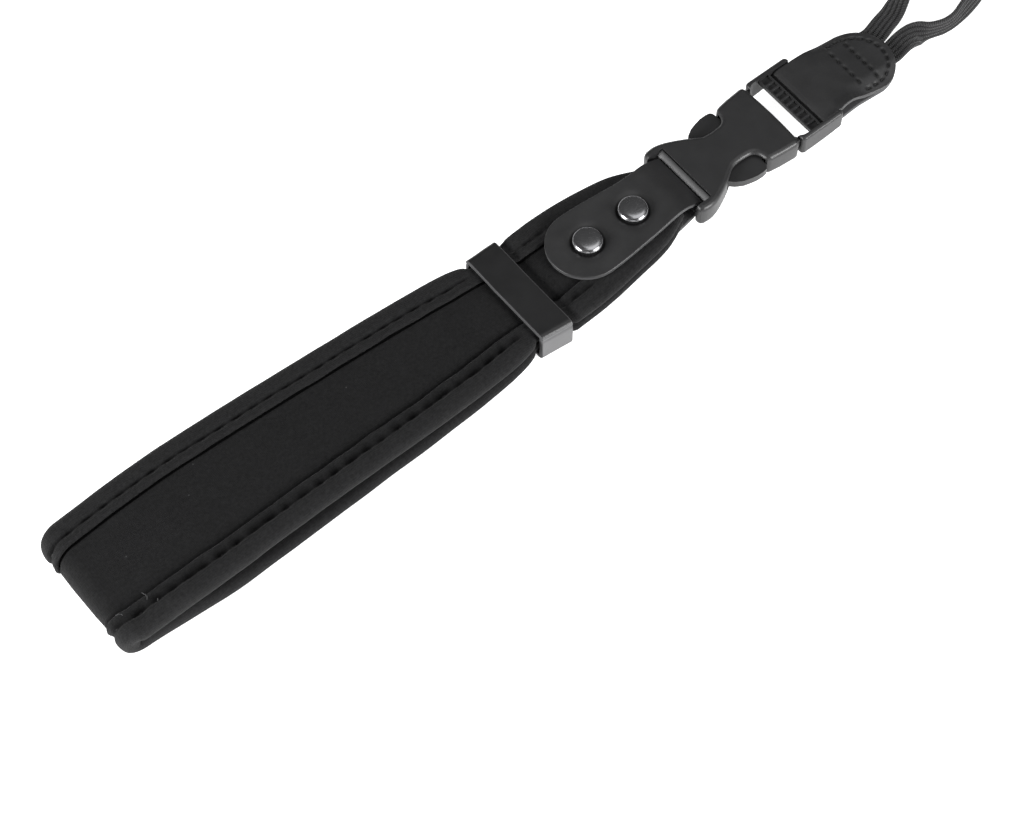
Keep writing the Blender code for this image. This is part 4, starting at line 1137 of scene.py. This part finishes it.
loopLow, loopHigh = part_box("loop_tab")
loopTab = {
    "radius": 10.7 * mm,
    "ply": 1.6 * mm,                 # of each ply's middle from the webbing's
    "wrapRadius": 2.05 * mm,
    "barX": loopLow.x + 2.7 * mm,
    "railEnd": plugHigh.x,
    "railGap": 0.3 * mm,
    "reliefFrom": plugHigh.x - 1.5 * mm,
    "endX": loopHigh.x + 0.2 * mm,
    "droop": 1.6 * mm,               # how far its round end hangs down to the floor
    "pinch": 0.75 * mm,              # of the upper ply's near edge
    "press": 1.5 * mm,               # how far the seam draws the upper ply down beside the webbing
    "pressFrom": 181.0 * mm,
    "pressReach": 7.0 * mm,
    "beside": 6.3 * mm,
    "besideReach": 6.2 * mm,
    "inset": 0.5 * mm,               # of the lower ply's near edge
    "aside": 0.9 * mm,               # how far its round end lies to the near side
    "legShift": 1.5 * mm,            # of the middle between the webbing's legs, to the far side
    "crossSeams": ((188.0 * mm, 1.6 * mm), (193.9 * mm, 0.9 * mm)),      # x, and how far short of the border
    "seamIn": 2.1 * mm,
    "seamPitch": 2.55 * mm,
    "holeDepth": 0.45 * mm,          # of the dent round each stitch
    "holeLong": 0.85 * mm,
    "holeWide": 0.42 * mm,
    "lift": 0.5 * mm,                # of the near edge beside the rails
    "liftAt": (180.5 * mm, -6.5 * mm),
    "liftReach": (3.2 * mm, 4.0 * mm),
    "crease": ((176.6, -10.5), (178.0, -7.6)),       # both its ends, in mm
    "creaseHeight": 0.32 * mm,       # it stands out
    "creaseWidth": 0.4 * mm,
}
# near edge of the upper ply: a share of the way from the rails to the tab's end, and how much of the pinch
pinchRows = np.array(((0.00, 0.00), (0.12, 0.60), (0.28, 1.00), (0.50, 0.40), (0.70, 0.00), (1.00, 0.00)))


def loopShare(x):
    return eased((x - loopTab["railEnd"]) / (loopTab["endX"] - loopTab["railEnd"]))


def droopAt(x):
    return loopTab["droop"] * loopShare(x)


def loopAside(x):
    return loopTab["aside"] * loopShare(x)


def seamRoute(points):
    # stitches along a seam through (x, y) points: the middle of each and the way it runs
    line, run = smoothPath(np.array(points), loopTab["seamPitch"])
    return [((a + b) / 2, (b - a) / np.linalg.norm(b - a)) for a, b in zip(line, line[1:])]


def tabSeams():
    start, end = loopTab["crossSeams"][0][0], loopHigh.x - loopTab["radius"]
    side = loopTab["radius"] - loopTab["seamIn"]
    straight = [(start, side), (mix(start, end, 0.5), side), (end, side)]
    turn = [(end + side * out, side * rise) for out, rise in halfTurn(8)]
    found = seamRoute(straight + turn + [(x, -y) for x, y in straight[::-1]])
    for x, short in loopTab["crossSeams"]:
        found += seamRoute([(x, short - side), (x, 0.0), (x, side - short)])
    return found


stitchSpots, stitchWays = (np.array(parts) for parts in zip(*tabSeams()))


def stitchDent(x, y):
    away = np.array((x, y)) - stitchSpots
    along = (away * stitchWays).sum(axis=1) / loopTab["holeLong"]
    across = (away[:, 0] * stitchWays[:, 1] - away[:, 1] * stitchWays[:, 0]) / loopTab["holeWide"]
    return float(np.exp(-(along**4) - across**2).max())


def loopRelief(row, y):
    x = row["x"]
    if not row["upper"] or x < loopTab["reliefFrom"]:
        return 0.0, 0.0
    beside = eased((abs(y - loopTab["legShift"]) - loopTab["beside"]) / loopTab["besideReach"])
    height = -loopTab["press"] * beside * eased((x - loopTab["pressFrom"]) / loopTab["pressReach"])
    hole = stitchDent(x, y)
    height -= loopTab["holeDepth"] * hole
    (liftX, liftY), (reachX, reachY) = loopTab["liftAt"], loopTab["liftReach"]
    height += loopTab["lift"] * bell((x - liftX) / reachX) * eased((liftY - y) / reachY)
    start, end = (Vector(point) * mm for point in loopTab["crease"])
    way = end - start
    share = (Vector((x, y)) - start).dot(way) / way.length_squared
    away = (Vector((x, y)) - start - way * min(max(share, 0.0), 1.0)).length / loopTab["creaseWidth"]
    height += loopTab["creaseHeight"] * bell(away) * (1 - 0.7 * eased(share))
    wave = ripple(x / (8 * mm), y / (6 * mm), 4.1) + 0.5 * ripple(x / (3.5 * mm), y / (3.5 * mm), 5.1)
    # the dent round each stitch also gets painted shade
    return height + leatherTab["waves"] * wave, hole


def loopPly():
    # middle line of the upper ply, as height over the webbing's, from the bar to the round end
    points = []
    railClear = loopTab["railEnd"] + loopTab["railGap"]
    for share in np.linspace(0, 1, 14):
        x = mix(railClear, loopHigh.x, share)
        rise = 1 - eased((x - railClear) / (loopHigh.x - loopTab["radius"] - railClear))
        points.append((x, mix(loopTab["ply"], loopTab["wrapRadius"], rise)))
    return points


def makeLoopTab():
    radius = loopTab["radius"]
    ply = loopPly()
    whole = [(x, middle - droopAt(x) - z) for x, z in ply[::-1]]
    whole += [(x, middle + z) for x, z in (roundBar(loopTab, 270 - 22.5 * step) for step in range(9))]
    whole += [(x, middle - droopAt(x) + z) for x, z in ply]
    found = stripRows(whole, radius)

    def cutAt(row):
        share = (row["x"] - loopTab["railEnd"]) / (loopHigh.x - loopTab["railEnd"])
        if not row["upper"]:
            return loopTab["inset"] * eased(3 * share)
        if share <= 0:
            return 0.0
        return loopTab["pinch"] * curveAt(pinchRows, 1, share)

    makeStrip("loop_leather", found, lambda row: radius, cutAt, loopAside, radius, loopRelief, "loop_tab")
    upper = [row for row in found if row["upper"]]
    bm = bmesh.new()
    for (x, y), way in zip(stitchSpots, stitchWays):
        row = min(upper, key=lambda row: abs(row["x"] - x))
        height = leatherTab["thickness"] / 2 + loopRelief(row, y)[0] + thread["tabRise"]
        spot, out = placed(row, y - loopAside(x), height), Vector((row["outX"], 0, row["outZ"]))
        length = thread["tabLength"] * chance.uniform(*thread["varied"])
        addStitch(bm, spot, Vector((*way, 0)), out, length, thread["tabRadius"])
    finishPiece("tab_stitches", bm, ["thread"])


makeLoopTab()
print("loop tab made")


# Webbing: one closed loop of woven tape, level where it is sewn in and on its edge where it lies

webbing = {
    "level": middle - loopTab["droop"],      # of the tape where it leaves the tab
    "legSplit": 0.4 * mm,
    "reach": 48 * mm,
    "spread": 13 * mm,
    "inset": 12 * mm,                        # how far it goes in between the tab's plies
}
# a share of the reach past the tab, a share of the spread beyond its leg, how far the tape has come down to the
# floor and how far it has turned on its edge; first the far leg, then the near one
farLegRows = (
    (0.000, 0.00, 0.00, 0.00), (0.105, 0.11, 0.03, 0.03), (0.210, 0.23, 0.15, 0.13), (0.380, 0.54, 0.75, 0.45),
    (0.545, 0.80, 1.00, 0.74), (0.690, 0.95, 1.00, 0.92), (0.815, 0.98, 1.00, 1.00), (0.910, 0.89, 1.00, 1.00),
    (0.975, 0.66, 1.00, 1.00), (0.995, 0.42, 1.00, 1.00),
)
nearLegRows = (
    (0.975, -0.73, 1.00, 1.00), (0.925, -0.49, 1.00, 1.00), (0.845, -0.26, 1.00, 0.92), (0.745, -0.08, 1.00, 0.82),
    (0.625, 0.03, 1.00, 0.78), (0.545, 0.10, 1.00, 0.86), (0.470, 0.15, 1.00, 0.96), (0.400, 0.14, 1.00, 1.00),
    (0.345, 0.08, 1.00, 1.00), (0.295, 0.01, 1.00, 0.92), (0.245, -0.07, 0.80, 0.56), (0.190, -0.09, 0.28, 0.22),
    (0.110, -0.07, 0.05, 0.03), (0.000, 0.00, 0.00, 0.00),
)


def lyingHeight(turn):
    tilt = math.radians(90) * turn
    return (tape["width"] * math.sin(tilt) + tape["thickness"] * math.cos(tilt)) / 2


def webbingRoute():
    # the middle of the tape, with how far it has turned on its edge
    leg = (tape["width"] + webbing["legSplit"]) / 2
    route = []
    for legRows, side in ((farLegRows, 1), (nearLegRows, -1)):
        for along, spread, down, turn in legRows:
            x = loopTab["endX"] + webbing["reach"] * along
            y = loopTab["legShift"] - loopTab["aside"] + side * (leg + webbing["spread"] * spread)
            route.append((x, y, mix(webbing["level"], lyingHeight(turn), down), turn))
    for share in (0.3, 0.65, 1.0):
        x = loopTab["endX"] - webbing["inset"] * share
        y, z = loopTab["legShift"] - loopAside(x), middle - droopAt(x)
        route = [(x, y + leg, z, 0.0)] + route + [(x, y - leg, z, 0.0)]
    return smoothPath(np.array(route), tape["rowStep"])


def tapeProfile():
    half, thick = tape["width"] / 2, tape["thickness"] / 2
    round_ = thick * 0.8
    face = []
    for across in np.linspace(round_ - half, half - round_, tape["faceColumns"] + 1):
        groove = abs(math.sin(math.pi * across / tape["ribPitch"])) ** 6
        # the grooves between the ribs also take painted shade
        face.append((across, thick - tape["ribRelief"] * groove, 0.75 * groove))
    edge = [(half - round_ + round_ * out, thick * rise) for out, rise in halfTurn(tape["edgeColumns"])]
    return face + edge + [(-a, -h, depth) for a, h, depth in face] + [(-a, -h) for a, h in edge]


def makeWebbing():
    line, run = webbingRoute()
    frames = []
    for spot, way in zip(line, np.gradient(line[:, :3], axis=0)):
        along = Vector(way).normalized()
        side = up.cross(along).normalized()
        tilt = math.radians(90) * spot[3]
        across = side * math.cos(tilt) - up * math.sin(tilt)
        through = across.cross(along).normalized()
        reach = abs(across.z) * tape["width"] / 2 + abs(through.z) * tape["thickness"] / 2
        frames.append((Vector(spot[:3]) - up * min(0.0, spot[2] - reach), across, through))

    def place(index, point):
        spot, across, through = frames[index]
        return spot + across * point[0] + through * point[1]

    bm = closedRings([tapeProfile()] * len(line), place, list(run))
    finishPiece("tape_loop", bm, ["tape"], ["webbing_loop"], smooth=60)
    print("webbing made, mm long:", round(run[-1] / mm, 1))


makeWebbing()
